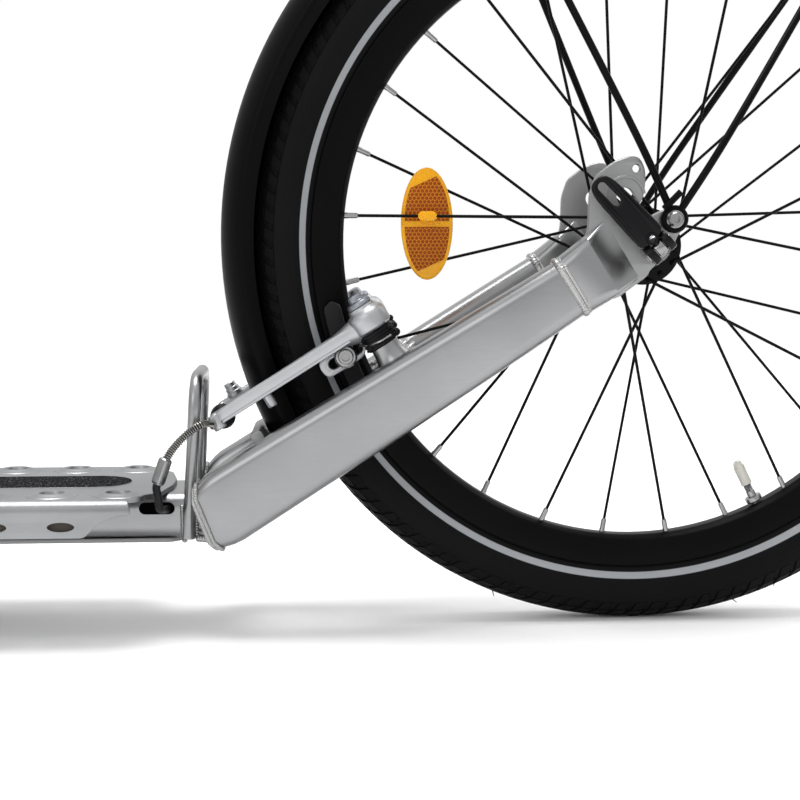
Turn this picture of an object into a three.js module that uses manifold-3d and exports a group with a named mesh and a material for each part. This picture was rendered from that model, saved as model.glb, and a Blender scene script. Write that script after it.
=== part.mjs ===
// Kick bike with a large front wheel, a small rear wheel, a low footboard and rim brakes.
// Millimetres. +Z up, -X forward, -Y is the rider's left. Built about the rear axle, then centred.
import * as THREE from 'three';
import { mergeVertices } from 'three/addons/utils/BufferGeometryUtils.js';
import Module from 'manifold-3d';

const wasm = await Module();
wasm.setup();

const deg = Math.PI / 180;
const clearance = 0.3;
const overrun = 5;

// Wheels: radii from the axle, half widths from the middle; the tyre sits on the rim by a share of its section
const rear = { rimOutR: 207.5, rimHeight: 20.2, rimHalf: 12.2, sectionR: 20, seatShare: 0.775, spokes: 28, sides: 32 };
const front = { rimOutR: 315, rimHeight: 18, rimHalf: 11.5, sectionR: 18, seatShare: 5 / 6, spokes: 28, sides: 36 };
for (const w of [rear, front]) {
  w.rimInR = w.rimOutR - w.rimHeight;
  w.tyreR = w.rimOutR + (1 + w.seatShare) * w.sectionR;
}
const rimWall = 1.6;
const tyreWall = 2.6;
const beadSink = 4;
const tyreOpening = 112;
const rimShares = [[0, 0.45], [0.15, 0.85], [1, 1]];
const wellShare = [0.45, 0.6];
const spoke = { r: 1.05, rimHalf: 2.5, firstAngle: 18.6, crossed: 4 };
const valve = { reach: 31, capR: 3.8, capLength: 17, stemR: 3, nutR: 5, nutHeight: 4 };
const lens = { length: 70, height: 33, depth: 8, placeShare: 0.72 };
const clip = { length: 12, width: 6 };

// Hubs, their axles and the dropouts' plates beside them
const rearHub = { halfWidth: 67, flangeY: 30, flangeR: 24, shellR: 13, axleR: 5, plate: 7.5 };
const frontHub = { halfWidth: 50, flangeY: 33, flangeR: 19, shellR: 11, axleR: 4.5, plate: 6 };
const hub = { holeInset: 3.2, flangeHalf: 1.6, endInset: 20, step: 2, waist: 12 };
const locknut = { wide: 4, length: 7, cone: 2 };
const release = { cup: 9.5, collar: 2.5, length: 8.5, eye: 7, pin: 2, tongue: 6.2, neck: 9, width: 17, reach: 59, blade: 5 };
const releaseSlot = { length: 24, width: 7, placeShare: 0.68, fork: 7, forkReach: 10 };
const releaseWay = { rear: 42, front: 60 };
const releaseShares = [[0.02, 1], [0.24, 1.06], [0.75, 0.97], [0.93, 0.86], [1, 0.45], [1, -0.45], [0.93, -0.86],
  [0.75, -0.97], [0.24, -1.06], [0.02, -1]];

// Steering geometry; heights and sizes along the steering axis start at the foot point beside the front axle
const wheelbase = 1300;
const headAngle = 71;
const forkRake = 45;
const crownRoom = 27.4;
const steererR = 14.3;
const steererSides = 14;
const headTube = { rise: 13, length: 156, outerR: 22, boreR: 17.2 };
const cup = { height: 9, bulge: 2 };
const fork = { topR: 13, footR: 8.5, crownY: 46.5, footY: 58.5, footRise: 15, raceR: 18, bossR: 4.5 };
const legShares = [
  // rake, spread to the crown's width, spread from crown to foot, height
  [0, 0, 0, 0.98], [0, 0.52, 0, 0.977], [0, 0.92, 0, 0.935], [0, 1, 0, 0.85], [0, 1, 0.37, 0.5],
  [-0.09, 1, 0.62, 0.28], [-0.36, 1, 0.87, 0.126],
];
const stem = { height: 44, r: 18.5, neckR: 14, ringHalf: 25, reach: 56, rise: 63, cap: 3, capR: 16.5 };
const bar = { r: 11.1, half: 300, rise: 62, back: 38, flatHalf: 48, bendHalf: 118, bendBack: 10, bend: 24 };
const grip = { r: 15.5, start: 22, end: 3, flangeR: 18.5, flange: 3 };
const lever = { along: 160, pivotAcross: 6, reach: 32, length: 104, thick: 6, tilt: 30 };
const leverShares = [[-0.06, 0.1], [-0.04, -0.05], [0.06, -0.11], [0.19, 0], [0.35, 0.18], [0.67, 0.28],
  [0.94, 0.26], [1.02, 0.34], [0.98, 0.44], [0.67, 0.48], [0.37, 0.38], [0.17, 0.24], [0.06, 0.14]];
const mountShares = [[-0.31, 0], [0.31, 0], [0.375, 0.56], [0.44, 0.81], [0.44, 1.19], [0.06, 1.25], [-0.375, 1.06],
  [-0.94, 0.91], [-0.94, 0.62], [-0.44, 0.53]];
const mountRoomShares = [[-0.75, 0.83], [-0.75, 1.4], [0.62, 1.4], [0.62, 0.75], [0.06, 0.75]];
const barrel = { r: 4.6, from: 41, to: 28, side: 24.5 };
const mount = { thick: 13, band: 15.5, bandHalf: 10 };
const cableR = 2.5;

// Footboard, its beam and the tube that rises to the head, heights above the floor
const deck = {
  top: 93, sheet: 3, halfWidth: 82, behind: 36, roll: 7, flange: 23, noseHalf: 47, tipHalf: 14,
  nose: 5, shoulder: 23, scallop: 26, tapeHalf: 24.5, tapeInset: 28, tape: 0.8,
};
const scallopShares = [[-0.12, 0.38], [0.3, 0.44], [0.66, 0.62], [1, 1.05], [-0.12, 1.05]];
const well = { row: 58, pitch: 40.5, first: 30, footR: 12, holeR: 6.5, rise: 2.2, sides: 8 };
const sideSlot = { length: 16, width: 5.6, drop: 16, shift: 4 };
const beam = { halfWidth: 35.4, tyreRoom: 19, bottom: 61.2, corner: 9, wall: 2.6 };
const downTube = { width: 44, depth: 52, bendR: 90, tyreRoom: 240, joinRise: 110, corner: 19, shy: 14, inside: 22 };
const gusset = { half: 4, length: 150, low: 14, bow: 16 };
const cableSlot = { back: 45, rise: 5.2, length: 22.5, height: 7.6, exitDrop: 100, exitR: 6 };
const skid = { half: 30, thick: 3, rear: 7, front: 12, chamfer: 8 };
const bow = { r: 3.9, back: 24.5, lean: 9, rise: 108, lap: 0.8, bend: 17 };

// Rear stays, from the beam to the dropouts
const stay = {
  lap: 6.4, rise: 7.3, endBack: 39.7, endDrop: 16.7, endOut: 2.25, width: 25, frontHeight: 43, rearHeight: 35,
  corner: 8, wall: 2.2, vent: 3, ventShare: 0.08,
};
const stayShares = [0.035, 0.16, 0.32, 0.5, 0.68, 0.84, 1];
const dropout = { span: 54, seatTurn: -58, seatDepth: 16, upperDepth: 14, upper: [-18.5, 30], eyeletR: 2.4, in: 3, out: 7.5 };
const webShares = [
  [-1, -0.185], [-0.77, 0.15], [-0.75, 0.574], [-0.667, 0.787], [-0.472, 0.935], [-0.287, 0.996], [-0.185, 0.978],
  [-0.122, 0.852], [-0.117, 0.704], [-0.139, 0.537], [-0.194, 0.459], [-0.167, 0.278], [0.056, 0.398], [0.185, 0.43],
  [0.306, 0.37], [0.324, 0.222], [0.237, 0.093], [0.219, -0.009], [0.074, -0.148], [-0.052, -0.254],
  [-0.067, -0.311], [-0.228, -0.43], [-0.389, -0.548], [-0.667, -0.704],
];
const collarShares = [[-1.07, -0.222], [-0.796, 0.111], [-0.611, -0.111], [-0.37, -0.519], [-0.685, -0.778]];
const eyeletShare = [-0.222, 0.857];
const guardBoltShare = [0.1815, 0.278];
const bridge = { turn: 207.4, ease: 1.1, thick: 8, up: 11, down: 12 };
const bridgeShares = [[0, -1], [1, -1], [1.1, 0.67], [0.75, 1], [0.25, 1], [0, 0.67]];

// Rim brakes, in a frame whose Z runs along the pivots and whose arms run towards -X
const brake = {
  postHalf: 42, arm: 116, wide: 8, thick: 9, rise: 23.5, tipHalf: 34, tipRise: 22.2, padAlong: 24.3, padUp: 13,
  padGap: 1.8, padLength: 68, padHeight: 11, padThick: 9.5, padTaper: 3, seatHeight: 22.4, trackShare: 0.56,
  bossR: 8.5, boss: 7, postR: 4, post: 35, sleeveR: 8.2, sleeve: 8, capR: 6.4, cap: 5.5,
};
const armShares = [
  [-0.06, 0.75], [0.12, 0.85], [0.52, 0.7], [1, 0.55], [1, -0.5], [0.52, -0.35], [0.34, -0.65], [0.1, -1], [-0.06, -0.75],
];
const tab = { root: 11, reach: 31, low: 6.5, high: 20, near: 8, thick: 4.4, slotLength: 24, slotWidth: 6.2 };
const tabShares = [[1, 0.1], [0.8, 0], [0.16, 0], [0, 0.2], [0, 1], [1, 1]];
const padBolt = { r: 3, washerR: 6.5, outerR: 7, nutR: 4.4, nut: 3.4 };
const peg = { along: 79, r: 3.2, low: 11 };
const clamp = { along: 101.5, r: 4.6, rise: 34.5 };
const frontSeatX = -17;
const boot = { along: 110, endR: 4.6, end: 5, wireR: 0.9, length: 24, inset: 4.6 };
const bootShares = [[0.74, 0.3], [0.91, 0.42], [0.65, 0.54], [0.78, 0.67], [0.41, 0.92]];
const guide = { crest: 2.9, root: 2.45, bore: 1.3, ribs: 17, smoothShare: 0.42, endShare: 0.96, ferruleR: 3.1, reach: 40 };
// Places along the guide tubes, from the tip of the arm; the last is the ferrule's end
const rearGuideShares = [[-0.045, -0.122, -0.033], [-0.034, -0.3, 0.031], [-0.155, -0.5, 0.107],
  [-0.392, -0.575, 0.105], [-0.72, -0.6, 0.025], [-0.906, -0.6, -0.065], [-1.202, -0.6, -0.293]];
const frontGuideShares = [[0.175, -0.145, 0], [0.167, -0.25, 0.005], [0.033, -0.55, 0.02],
  [-0.317, -0.713, 0.07], [-0.667, -0.725, 0.12], [-1.083, -0.705, 0.17]];

// Mudguards
const guard = { halfWidth: 22.5, clearR: 20, depth: 12, sheet: 1.6, lip: 0.8 };
const guardSpan = { rear: [38, 207.6], front: [-12, 118] };
const guardShares = [-1, -0.5, 0.5, 1];
const wire = { r: 2.3, eyeR: 6.4, headR: 4.6, head: 5, in: 1.8, out: 3, bend: 46, edge: 2, lap: 2 };
const wireAngles = { rear: [112, 57], front: [-4, 32] };
const frontEyelet = [22, -2];
const forkWebShares = [[0.82, 1.18], [-0.09, 1.18], [-0.45, 0.55], [-0.5, -0.18], [-0.27, -0.55], [0.27, -0.55],
  [0.59, -0.36], [0.91, -0.45], [1.27, -0.23], [1.27, 0.14], [0.91, 0.41]];

const vec = (x, y, z) => new THREE.Vector3(x, y, z);
const mix = (a, b, share) => a + (b - a) * share;
const ease = (share) => share * share * (3 - 2 * share);
const count = (n) => [...Array(n).keys()];
const scaled = (shares, x, z = x) => shares.map(([a, b]) => [a * x, b * z]);
const shifted = (points, x, z) => points.map(([a, b]) => [a + x, b + z]);

// Closed geometry to a solid that faces out
function solid(geometry) {
  const bare = geometry.clone();
  for (const name of Object.keys(bare.attributes)) {
    if (name !== 'position') bare.deleteAttribute(name);
  }
  const merged = mergeVertices(bare, 1e-3);
  const points = Float32Array.from(merged.attributes.position.array);
  const corners = [];
  let volume = 0;
  const at = (i) => vec(points[3 * i], points[3 * i + 1], points[3 * i + 2]);
  for (let i = 0; i < merged.index.count; i += 3) {
    const [a, b, c] = [0, 1, 2].map((k) => merged.index.getX(i + k));
    if (a === b || b === c || a === c) continue;
    corners.push(a, b, c);
    volume += at(a).dot(at(b).cross(at(c)));
  }
  if (volume < 0) {
    for (let i = 0; i < corners.length; i += 3) {
      [corners[i], corners[i + 1]] = [corners[i + 1], corners[i]];
    }
  }
  return new wasm.Manifold(new wasm.Mesh({
    numProp: 3, vertProperties: points, triVerts: Uint32Array.from(corners),
  }));
}

function toGeometry(body) {
  const mesh = body.getMesh();
  const geometry = new THREE.BufferGeometry();
  geometry.setAttribute('position', new THREE.BufferAttribute(mesh.vertProperties, 3));
  geometry.setIndex(new THREE.BufferAttribute(mesh.triVerts, 1));
  geometry.computeVertexNormals();
  return geometry;
}

const join = (...bodies) => bodies.flat().reduce((sum, body) => sum.add(body));
const cut = (body, ...tools) => tools.flat().reduce((rest, tool) => rest.subtract(tool), body);

// Turns a profile of [radius, y] points about the Y axis
function revolve(profile, sides, closed = true) {
  const points = profile.map(([r, y]) => new THREE.Vector2(r, y));
  if (closed) points.push(points[0].clone());
  return solid(new THREE.LatheGeometry(points, sides));
}

// The same profile on both sides of the middle, given for +Y from the axis or the bore
const mirrored = (half) => [...half, ...half.map(([r, y]) => [r, -y]).reverse()];

function outline(points, holes = []) {
  const shape = new THREE.Shape(points.map(([x, y]) => new THREE.Vector2(x, y)));
  for (const hole of holes) shape.holes.push(new THREE.Path(hole.map(([x, y]) => new THREE.Vector2(x, y))));
  return shape;
}

const prism = (points, depth, holes) => (
  new THREE.ExtrudeGeometry(outline(points, holes), { depth, bevelEnabled: false }));

// Flat sheet lying in XY, its underside at the given height
const sheet = (points, low, thickness, holes) => solid(prism(points, thickness, holes).translate(0, 0, low));

// Plate standing in XZ, from one Y to another
const plate = (points, fromY, toY, holes) => (
  solid(prism(points, toY - fromY, holes).rotateX(Math.PI / 2).translate(0, toY, 0)));

// Plate on one side of the bike, given by distances from the middle
const sidePlate = (points, side, near, far, holes) => (
  side < 0 ? plate(points, -far, -near, holes) : plate(points, near, far, holes));

// Section in YZ, run along X
function rail(points, fromX, toX) {
  const turn = new THREE.Matrix4().makeBasis(vec(0, 1, 0), vec(0, 0, 1), vec(1, 0, 0));
  return solid(prism(points, toX - fromX).applyMatrix4(turn.setPosition(fromX, 0, 0)));
}

function arc(cx, cy, r, from, to, steps) {
  return count(steps + 1).map((i) => {
    const angle = mix(from, to, i / steps) * deg;
    return [cx + r * Math.cos(angle), cy + r * Math.sin(angle)];
  });
}

const ring = (cx, cy, r, sides) => arc(cx, cy, r, 0, 360 - 360 / sides, sides - 1);

// Slot outline with round ends
function slot(cx, cy, length, width, turn = 0, steps = 3) {
  const half = (length - width) / 2;
  const raw = [...arc(half, 0, width / 2, -90, 90, steps), ...arc(-half, 0, width / 2, 90, 270, steps)];
  const [c, s] = [Math.cos(turn * deg), Math.sin(turn * deg)];
  return raw.map(([x, y]) => [cx + x * c - y * s, cy + x * s + y * c]);
}

function roundedBox(width, height, corner, steps = 2) {
  const [x, y] = [width / 2 - corner, height / 2 - corner];
  return [
    ...arc(x, y, corner, 0, 90, steps), ...arc(-x, y, corner, 90, 180, steps),
    ...arc(-x, -y, corner, 180, 270, steps), ...arc(x, -y, corner, 270, 360, steps),
  ];
}

// Skins a row of rings that all have the same number of points; a hollow section gives its flat outline
function loft(rings, flat) {
  const n = rings[0].length;
  const index = [];
  for (let k = 0; k + 1 < rings.length; k += 1) {
    for (let i = 0; i < n; i += 1) {
      const [a, b] = [k * n + i, k * n + ((i + 1) % n)];
      index.push(a, b, b + n, a, b + n, a + n);
    }
  }
  const last = (rings.length - 1) * n;
  const face = flat && flat.map(([x, y]) => new THREE.Vector2(x, y));
  const caps = flat ? THREE.ShapeUtils.triangulateShape(face, []) : count(n - 2).map((i) => [0, i + 1, i + 2]);
  const turned = flat && THREE.ShapeUtils.isClockWise(face);
  for (const [a, b, c] of caps) {
    if (turned) index.push(a, b, c, last + a, last + c, last + b);
    else index.push(a, c, b, last + a, last + b, last + c);
  }
  const geometry = new THREE.BufferGeometry().setFromPoints(rings.flat());
  geometry.setIndex(index);
  return solid(geometry);
}

// Round rod along a curve
const rod = (curve, r, sides, steps) => (
  solid(new THREE.ExtrudeGeometry(outline(ring(0, 0, r, sides)), { steps, bevelEnabled: false, extrudePath: curve })));

const flowing = (points) => new THREE.CatmullRomCurve3(points.map((p) => vec(...p)), false, 'centripetal');

// Corner points with a bend, that starts a set length before each corner, in place of the corner
function rounded(points, reach, steps) {
  const corners = points.map((p) => vec(...p));
  const last = corners.length - 1;
  const stations = [corners[0]];
  for (let i = 1; i < last; i += 1) {
    const enter = corners[i].clone().add(corners[i - 1].clone().sub(corners[i]).setLength(reach));
    const leave = corners[i].clone().add(corners[i + 1].clone().sub(corners[i]).setLength(reach));
    stations.push(...(steps > 0
      ? new THREE.QuadraticBezierCurve3(enter, corners[i], leave).getPoints(steps) : [corners[i]]));
  }
  return [...stations, corners[last]];
}

// Pipe through corner points, with mitred rings
function pipe(points, reach, r, sides, steps) {
  const stations = rounded(points, reach, steps);
  const last = stations.length - 1;
  const way = (i, j) => stations[Math.min(j, last)].clone().sub(stations[Math.max(i, 0)]).normalize();
  const first = way(0, 1);
  const side = Math.abs(first.y) < 0.9 ? vec(0, 1, 0) : vec(1, 0, 0);
  let across = side.addScaledVector(first, -side.dot(first)).normalize();
  return loft(stations.map((at, i) => {
    const before = i > 0 ? way(i - 1, i) : first;
    const after = i < last ? way(i, i + 1) : before;
    const ahead = before.clone().add(after).normalize();
    across = across.addScaledVector(ahead, -across.dot(ahead)).normalize();
    const up = ahead.clone().cross(across);
    const bent = before.clone().sub(after);
    const stretch = 1 / ahead.dot(after) - 1;
    const lean = bent.length() > 1e-6 ? bent.normalize() : null;
    return ring(0, 0, r, sides).map(([a, b]) => {
      const offset = across.clone().multiplyScalar(a).addScaledVector(up, b);
      if (lean) offset.addScaledVector(lean, offset.dot(lean) * stretch);
      return at.clone().add(offset);
    });
  }));
}

// Straight round bar between two points
function bolt(from, to, r, sides = 8) {
  const [a, b] = [vec(...from), vec(...to)];
  const geometry = new THREE.CylinderGeometry(r, r, a.distanceTo(b), sides);
  const turn = new THREE.Quaternion().setFromUnitVectors(vec(0, 1, 0), b.clone().sub(a).normalize());
  geometry.applyQuaternion(turn);
  const middle = a.add(b).multiplyScalar(0.5);
  return solid(geometry.translate(middle.x, middle.y, middle.z));
}

const finishes = {
  silver: { color: 0xb9bbbd, roughness: 0.38, metalness: 1 },
  black: { color: 0x121315, roughness: 0.45, metalness: 0 },
  anodised: { color: 0x17181a, roughness: 0.35, metalness: 0.6 },
  rubber: { color: 0x1a1b1c, roughness: 0.85, metalness: 0 },
  tape: { color: 0x2c2d2f, roughness: 0.95, metalness: 0 },
  chrome: { color: 0xc9c9c6, roughness: 0.2, metalness: 1 },
  amber: { color: 0xf09a12, roughness: 0.25, metalness: 0 },
};

function part(name, body, finish) {
  const mesh = new THREE.Mesh(toGeometry(body), new THREE.MeshStandardMaterial(finishes[finish]));
  mesh.name = name;
  return mesh;
}

// Places that follow from the sizes
const steerTurn = (90 - headAngle) * deg;
const rearAxle = { x: 0, z: rear.tyreR };
const frontAxle = { x: -wheelbase, z: front.tyreR };
const steerFoot = {
  x: frontAxle.x + forkRake * Math.cos(steerTurn),
  z: frontAxle.z - forkRake * Math.sin(steerTurn),
};
// Matrix from the steering frame, whose Z runs up the steering axis, to the bike's frame
const steerFrame = new THREE.Matrix4().makeRotationY(steerTurn).setPosition(steerFoot.x, 0, steerFoot.z);
const onBike = (body, matrix) => body.transform(matrix.elements);
const steerPoint = (x, y, z) => vec(x, y, z).applyMatrix4(steerFrame);

const guardOuter = (w) => w.tyreR + guard.clearR + guard.sheet;
const crownHeight = guardOuter(front) + crownRoom;
const headLow = crownHeight + headTube.rise;
const headHigh = headLow + headTube.length;

const beamRearX = rearAxle.x - rear.tyreR - beam.tyreRoom;
const deckRearX = beamRearX - deck.behind;
const beamMiddle = (deck.top - deck.sheet + beam.bottom) / 2;
const beamHeight = deck.top - deck.sheet - beam.bottom;
const frameCorner = vec(frontAxle.x + front.tyreR + downTube.tyreRoom, 0, beamMiddle);
const headJoint = steerPoint(0, 0, headLow + downTube.joinRise);
const riseWay = headJoint.clone().sub(frameCorner).normalize();
const riseAngle = Math.atan2(riseWay.z, -riseWay.x);
const bendReach = downTube.bendR * Math.tan(riseAngle / 2);
const bendStart = frameCorner.x + bendReach;

const stayFront = vec(beamRearX - stay.lap, 0, beamMiddle + stay.rise);
const stayRear = vec(rearAxle.x - stay.endBack, 0, rearAxle.z - stay.endDrop);
const stayWay = stayRear.clone().sub(stayFront).normalize();
const stayUp = vec(-stayWay.z, 0, stayWay.x);
const stayFrontY = beam.halfWidth + clearance + stay.width / 2;
const stayRearY = rearHub.halfWidth + rearHub.plate / 2 + stay.endOut;

const padTrack = (w) => mix(w.rimInR, w.rimOutR, brake.trackShare);
const padFace = rear.rimHalf + brake.padGap;

// The rear brake sits above the stays where its pads meet the rim
function rearBrakeSeat() {
  const lift = brake.seatHeight + brake.padUp;
  const from = stayFront.clone().addScaledVector(stayUp, lift).addScaledVector(stayWay, -brake.padAlong);
  const toAxle = vec(rearAxle.x, 0, rearAxle.z).sub(from);
  const along = toAxle.dot(stayWay);
  const run = along - Math.sqrt(along ** 2 - toAxle.lengthSq() + padTrack(rear) ** 2);
  return stayFront.clone().addScaledVector(stayUp, brake.seatHeight).addScaledVector(stayWay, run);
}

const brakeFrame = new THREE.Matrix4().makeRotationY(-Math.atan2(stayWay.z, stayWay.x)).setPosition(rearBrakeSeat());

const frontSeatHeight = Math.sqrt(padTrack(front) ** 2 - (forkRake + frontSeatX - brake.padUp) ** 2) - brake.padAlong;
const frontBrakeFrame = new THREE.Matrix4()
  .makeRotationFromEuler(new THREE.Euler(0, -Math.PI / 2, Math.PI))
  .setPosition(frontSeatX, 0, frontSeatHeight);

const stemLow = headHigh + cup.height + clearance;
const barMiddle = [-stem.reach, 0, stemLow + stem.height / 2 + stem.rise];
const barBend = [barMiddle[0] + bar.bendBack, bar.bendHalf, barMiddle[2] + bar.rise];
const barEnd = [barMiddle[0] + bar.back, bar.half, barMiddle[2] + bar.rise];
const steererTop = stemLow + stem.height - stem.cap;

// Half width between the rim's walls, from the bottom of its well to its edge
function rimRoom(w, r) {
  const low = mix(w.rimInR, w.rimOutR, wellShare[0]);
  return mix(wellShare[1] * w.rimHalf, w.rimHalf - rimWall, (r - low) / (w.rimOutR - low));
}

// Tyre: a hollow ring whose beads stand between the rim's walls
function tyre(w) {
  const centreR = w.tyreR - w.sectionR;
  const lip = w.rimOutR + clearance;
  const sink = w.rimOutR - beadSink;
  const [neck, bead] = [w.rimOutR, sink].map((r) => rimRoom(w, r) - clearance);
  const innerR = w.sectionR - tyreWall;
  const open = 180 - Math.asin((bead - tyreWall) / innerR) / deg;
  const outer = arc(centreR, 0, w.sectionR, -tyreOpening, tyreOpening, 6);
  const inner = arc(centreR, 0, innerR, open, -open, 4);
  return revolve([
    [sink, -bead], [lip, -neck], ...outer, [lip, neck], [sink, bead], [sink, bead - tyreWall], ...inner,
    [sink, tyreWall - bead],
  ], w.sides);
}

function rim(w) {
  const height = w.rimOutR - w.rimInR;
  const outside = scaled(rimShares, height, w.rimHalf);
  const inside = [[height, w.rimHalf - rimWall], [wellShare[0] * height, wellShare[1] * w.rimHalf]];
  const half = shifted([...outside, ...inside], w.rimInR, 0);
  return revolve([...half.map(([r, y]) => [r, -y]), ...half.reverse()], w.sides);
}

// Direction in which each spoke leaves its rim hole
const leads = (k) => Math.floor((k + 1) / 2) % 2 === 1;

// Spokes stand in turn on the outer and the inner face of their flange
function spokeLine(w, h, k) {
  const spacing = 360 / w.spokes;
  const side = k % 2 === 1 ? -1 : 1;
  const rimAngle = (180 - spoke.firstAngle + k * spacing) * deg;
  const hubAngle = rimAngle + (leads(k) ? -1 : 1) * spoke.crossed * spacing * deg;
  const holeR = h.flangeR - hub.holeInset;
  const at = (r, angle, y) => vec(r * Math.cos(angle), y, r * Math.sin(angle));
  const beside = (leads(k) ? 1 : -1) * (hub.flangeHalf + spoke.r + clearance);
  return {
    hole: at(holeR, hubAngle, side * h.flangeY),
    elbow: at(holeR, hubAngle, side * (h.flangeY + beside)),
    rim: at(w.rimInR, rimAngle, side * spoke.rimHalf),
  };
}

function hubWithSpokes(w, h) {
  const end = h.halfWidth - hub.endInset;
  const shell = revolve(mirrored([
    [h.axleR + clearance, end], [h.shellR - hub.step / 2, end], [h.shellR + hub.step, h.flangeY + hub.flangeHalf],
    [h.flangeR, h.flangeY + hub.flangeHalf], [h.flangeR, h.flangeY - hub.flangeHalf],
    [h.shellR + hub.step / 2, h.flangeY - hub.flangeHalf], [h.shellR, h.flangeY - hub.waist],
  ]), 14);
  const spokes = count(w.spokes).map((k) => {
    const line = spokeLine(w, h, k);
    return pipe([line.hole, line.elbow, line.rim].map((p) => p.toArray()), 0, spoke.r, 3, 0);
  });
  const room = w.rimInR - clearance / Math.cos(Math.PI / w.sides);
  const inside = revolve(mirrored([[0, h.halfWidth], [room, h.halfWidth]]), w.sides, false);
  return join(shell, spokes.map((body) => body.intersect(inside)));
}

// Axle with its lock nuts, which stand against the dropouts
function axle(h) {
  const nut = h.halfWidth - hub.endInset + clearance;
  const out = h.halfWidth + h.plate - clearance;
  return revolve(mirrored([
    [0, out], [h.axleR, out], [h.axleR, h.halfWidth], [h.axleR + locknut.wide, h.halfWidth],
    [h.axleR + locknut.wide, h.halfWidth - locknut.length], [h.axleR + locknut.cone, nut], [h.axleR, nut],
  ]), 12, false);
}

function valveStem(w) {
  const top = w.rimInR * Math.cos(Math.PI / w.sides) - clearance;
  const low = w.rimInR - valve.reach;
  const { capR, capLength, stemR, nutR, nutHeight } = valve;
  const step = capR - stemR;
  return revolve([
    [0, low], [stemR, low + step], [capR, low + capR], [capR, low + capLength - step], [stemR, low + capLength],
    [stemR, top - nutHeight], [nutR, top - nutHeight], [nutR, top - step], [stemR, top], [0, top],
  ], 10, false);
}

// Wheel reflector: an oval lens between the two fans of spokes, with a clip at each spoke it meets
function reflector(w, h, place) {
  const half = { x: lens.height / 2, z: lens.length / 2, y: lens.depth / 2 };
  const oval = scaled(ring(0, 0, 1, 20), half.x, half.z);
  const meets = [0, 1, 2].map((k) => {
    const line = spokeLine(w, h, k);
    const share = (place[0] - line.rim.x) / (line.elbow.x - line.rim.x);
    const at = line.rim.clone().lerp(line.elbow, share);
    return { at, way: line.elbow.clone().sub(line.rim).normalize() };
  }).filter(({ at }) => Math.abs(at.z - place[1]) < half.z - clip.width);
  const clips = meets.map(({ at, way }) => {
    const turn = Math.atan2(way.z, way.x) / deg;
    const reach = Math.abs(at.y) - spoke.r - clearance - Math.abs(way.y) * clip.length / 2;
    const block = slot(at.x - place[0], at.z - place[1], clip.length, clip.width, turn, 2);
    return sidePlate(block, Math.sign(at.y), 0, reach);
  });
  return join(plate(oval, -half.y, half.y), clips);
}

// Cup of the quick release against the dropout
function releaseCup(h, side) {
  const from = h.halfWidth + h.plate;
  const { cup: r, collar, length } = release;
  const profile = [
    [0, from], [r, from], [r, from + collar], [r - collar, from + 2 * collar], [r - collar, from + length],
    [0, from + length],
  ];
  return revolve(profile.map(([x, y]) => [x, side * y]), 12, false);
}

const releasePin = (h) => h.halfWidth + h.plate + release.length + clearance + release.eye;

const box = (x, z) => [[-x, -z], [x, -z], [x, z], [-x, z]];

// Cup with the tongue that holds the lever's pin
function releaseCam(h) {
  const pin = releasePin(h);
  const z = release.tongue / 2;
  const neck = plate(box(release.neck / 2, z), -pin, -h.halfWidth - h.plate - release.collar);
  const eye = bolt([0, -pin, -z], [0, -pin, z], release.neck / 2 + clearance, 10);
  const hole = bolt([0, -pin, -release.width], [0, -pin, release.width], release.pin + clearance, 8);
  return cut(join(releaseCup(h, -1), neck, eye), hole);
}

// Lever of the quick release, pointing along -X from its pin, with a forked root
function releaseLever() {
  const half = release.width / 2;
  const blade = scaled(releaseShares, -release.reach, half);
  const fork = shifted(box(releaseSlot.forkReach, releaseSlot.fork / 2), 0, 0);
  const window = slot(-releaseSlot.placeShare * release.reach, 0, releaseSlot.length, releaseSlot.width);
  const flat = plate(blade, -release.blade, 0, [window]);
  const root = bolt([0, 0, -half], [0, 0, half], release.eye, 10);
  const pin = bolt([0, 0, -half], [0, 0, half], release.pin, 8);
  return join(cut(join(flat, root), plate(fork, -release.width, release.width)), pin);
}

function stayPoint(share) {
  return stayFront.clone().lerp(stayRear, share).setY(mix(stayFrontY, stayRearY, ease(Math.min(1, share))));
}

function stayRing(share, inset, taper, side) {
  const middle = stayPoint(share);
  const height = mix(stay.frontHeight, stay.rearHeight, share) - 2 * inset;
  const width = stay.width - 2 * inset;
  return roundedBox(width * taper, height * taper, (stay.corner - inset) * taper).map(([y, z]) => {
    const point = middle.clone().addScaledVector(stayUp, z);
    return vec(point.x, side * (middle.y + y), point.z);
  });
}

// One rear stay: tapered tube, forged dropout with two wheel positions, and the brake post
function rearStay(side) {
  const outer = loft([stayRing(0, 0, 0.8, side), ...stayShares.map((s) => stayRing(s, 0, 1, side))]);
  const inner = [stayShares[0] * 2, ...stayShares.slice(1, -1), 1 - stayShares[0]];
  const hollow = loft(inner.map((s) => stayRing(s, stay.wall, 1, side)));
  const vent = stayPoint(stay.ventShare);
  const ventHole = bolt([vent.x, 0, vent.z], [vent.x, side * vent.y, vent.z], stay.vent, 8);
  const post = onBike(join(brakePost(side, 2 * brake.sleeve), postCap(side)), brakeFrame);
  return join(cut(outer, hollow, ventHole), rearDropout(side), post);
}

// Seat slot that opens down and to the rear, from the axle's place outwards
function seatSlot(x, z, r, depth) {
  const way = dropout.seatTurn * deg;
  return slot(
    x + Math.cos(way) * depth / 2, z + Math.sin(way) * depth / 2, depth + 2 * r, 2 * r, dropout.seatTurn, 6);
}

const guardBolt = scaled([guardBoltShare], dropout.span)[0];

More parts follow.
